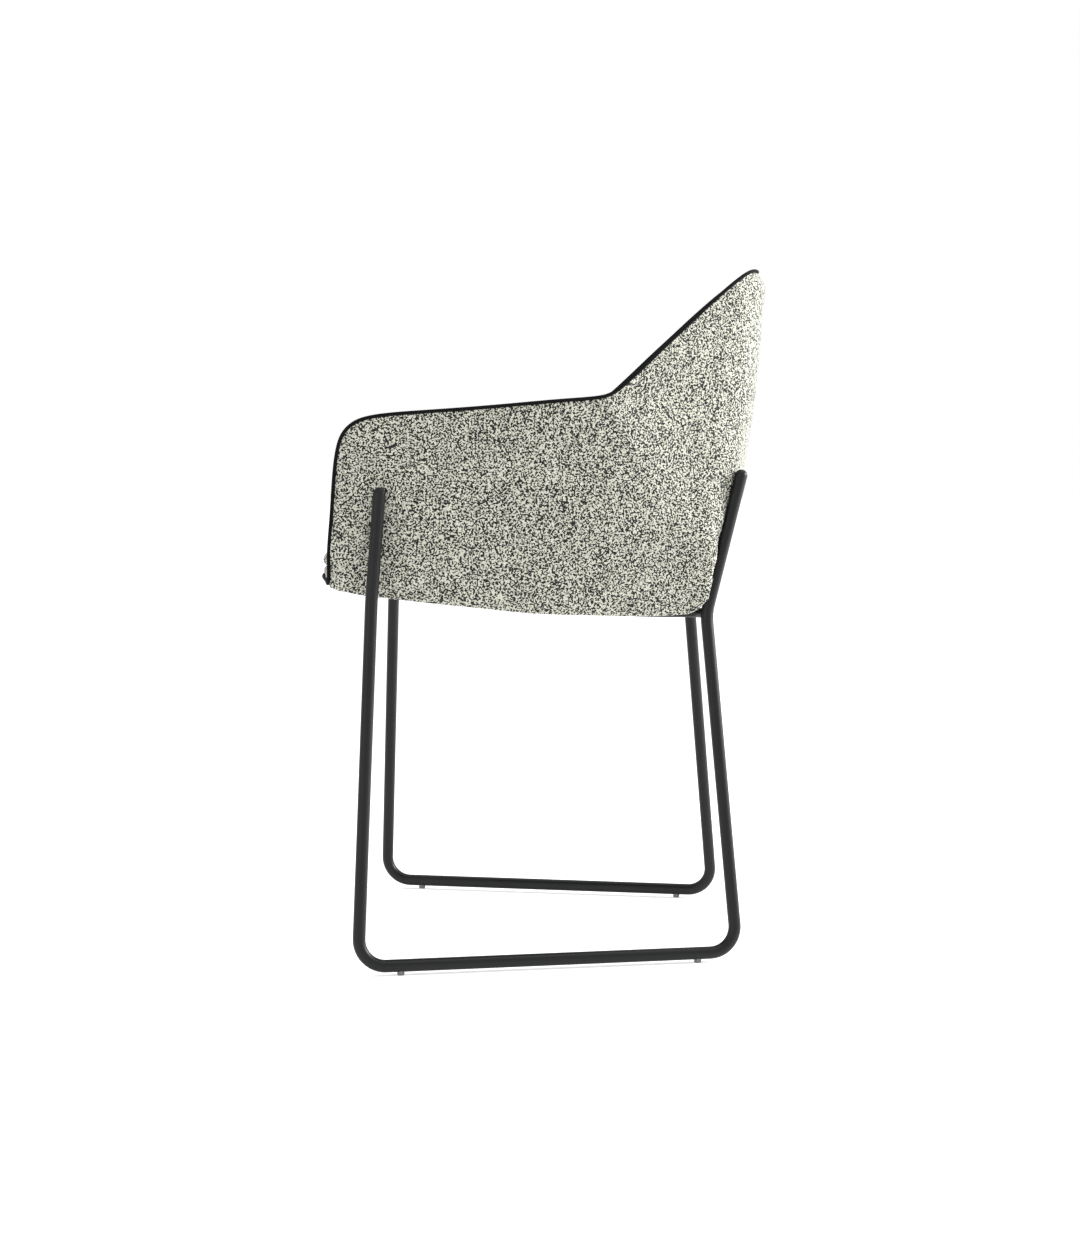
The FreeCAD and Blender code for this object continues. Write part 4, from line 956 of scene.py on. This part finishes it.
SLOTS = {
    "frame_paint": ("left_side_frame", "right_side_frame", "rear_cross_tube", "tube_end_domes", "fixing_bosses", "seat_mount_plates"),
    "fastener_steel": ("frame_bolts", "frame_bolt_washers", "seat_bolts", "seat_tee_nuts", "corner_brackets", "bracket_screws"),
    "glide_plastic": ("front_left_glide", "front_right_glide", "rear_left_glide", "rear_right_glide"),
    "plywood": ("seat_board", "left_arm_panel", "right_arm_panel", "back_panel"),
}
for key, names in SLOTS.items():
    for name in names:
        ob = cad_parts[name]
        for s_ in ob.material_slots:
            s_.material = MATS[key]

# ------------------------------------------------------------------ floor, light, camera
def plain(name, color, rough=0.9, glow=0.0):
    m_ = bpy.data.materials.new(name)
    m_.use_nodes = True
    b = m_.node_tree.nodes["Principled BSDF"]
    b.inputs["Base Color"].default_value = (*color, 1)
    b.inputs["Roughness"].default_value = rough
    b.inputs["Specular IOR Level"].default_value = 0.0
    if glow:
        b.inputs["Emission Color"].default_value = (1, 1, 1, 1)
        b.inputs["Emission Strength"].default_value = glow
    return m_


me = bpy.data.meshes.new("floor")
me.from_pydata([(-30, -30, 0), (30, -30, 0), (30, 30, 0), (-30, 30, 0)], [], [(0, 1, 2, 3)])
floor = bpy.data.objects.new("floor", me)
scene.collection.objects.link(floor)
floor.data.materials.append(plain("floor_white", (0.86, 0.86, 0.86), glow=0.42))

world = bpy.data.worlds.new("studio")
scene.world = world
world.use_nodes = True
world.node_tree.nodes["Background"].inputs["Color"].default_value = (1, 1, 1, 1)
world.node_tree.nodes["Background"].inputs["Strength"].default_value = 1.0


def area(name, place, target, size, power, color=(1, 1, 1)):
    d = bpy.data.lights.new(name, "AREA")
    d.shape, d.size, d.energy, d.color = "DISK", size, power, color
    o = bpy.data.objects.new(name, d)
    o.location = place
    o.rotation_mode = "QUATERNION"
    o.rotation_quaternion = (Vector(target) - Vector(place)).to_track_quat("-Z", "Y")
    scene.collection.objects.link(o)
    return o


area("key_rear", (-0.45, 3.0, 1.45), (0, 0.15, 0.5), 1.5, 150)
area("top", (0.2, 0.5, 2.9), (0, 0, 0.4), 1.8, 18)
area("front_fill", (2.4, -2.4, 1.3), (0, -0.1, 0.5), 1.6, 9)

cam_d = bpy.data.cameras.new("camera")
cam = bpy.data.objects.new("camera", cam_d)
scene.collection.objects.link(cam)
cam_d.lens, cam_d.sensor_width, cam_d.sensor_fit = 80.46, 36.0, "AUTO"
cam_d.clip_start, cam_d.clip_end = 0.05, 200
cam.location = (3.3094, -0.0143, 0.56876)
yaw, pitch = math.radians(0.2044), math.radians(3.599)
fwd = Vector((-math.cos(yaw) * math.cos(pitch), math.sin(yaw) * math.cos(pitch), -math.sin(pitch)))
cam.rotation_mode = "QUATERNION"
cam.rotation_quaternion = fwd.to_track_quat("-Z", "Y")
scene.camera = cam
scene.view_settings.view_transform = "Standard"
scene.view_settings.look = "None"
scene.view_settings.exposure = 0.0
scene.view_settings.gamma = 1.0

bpy.context.view_layer.update()
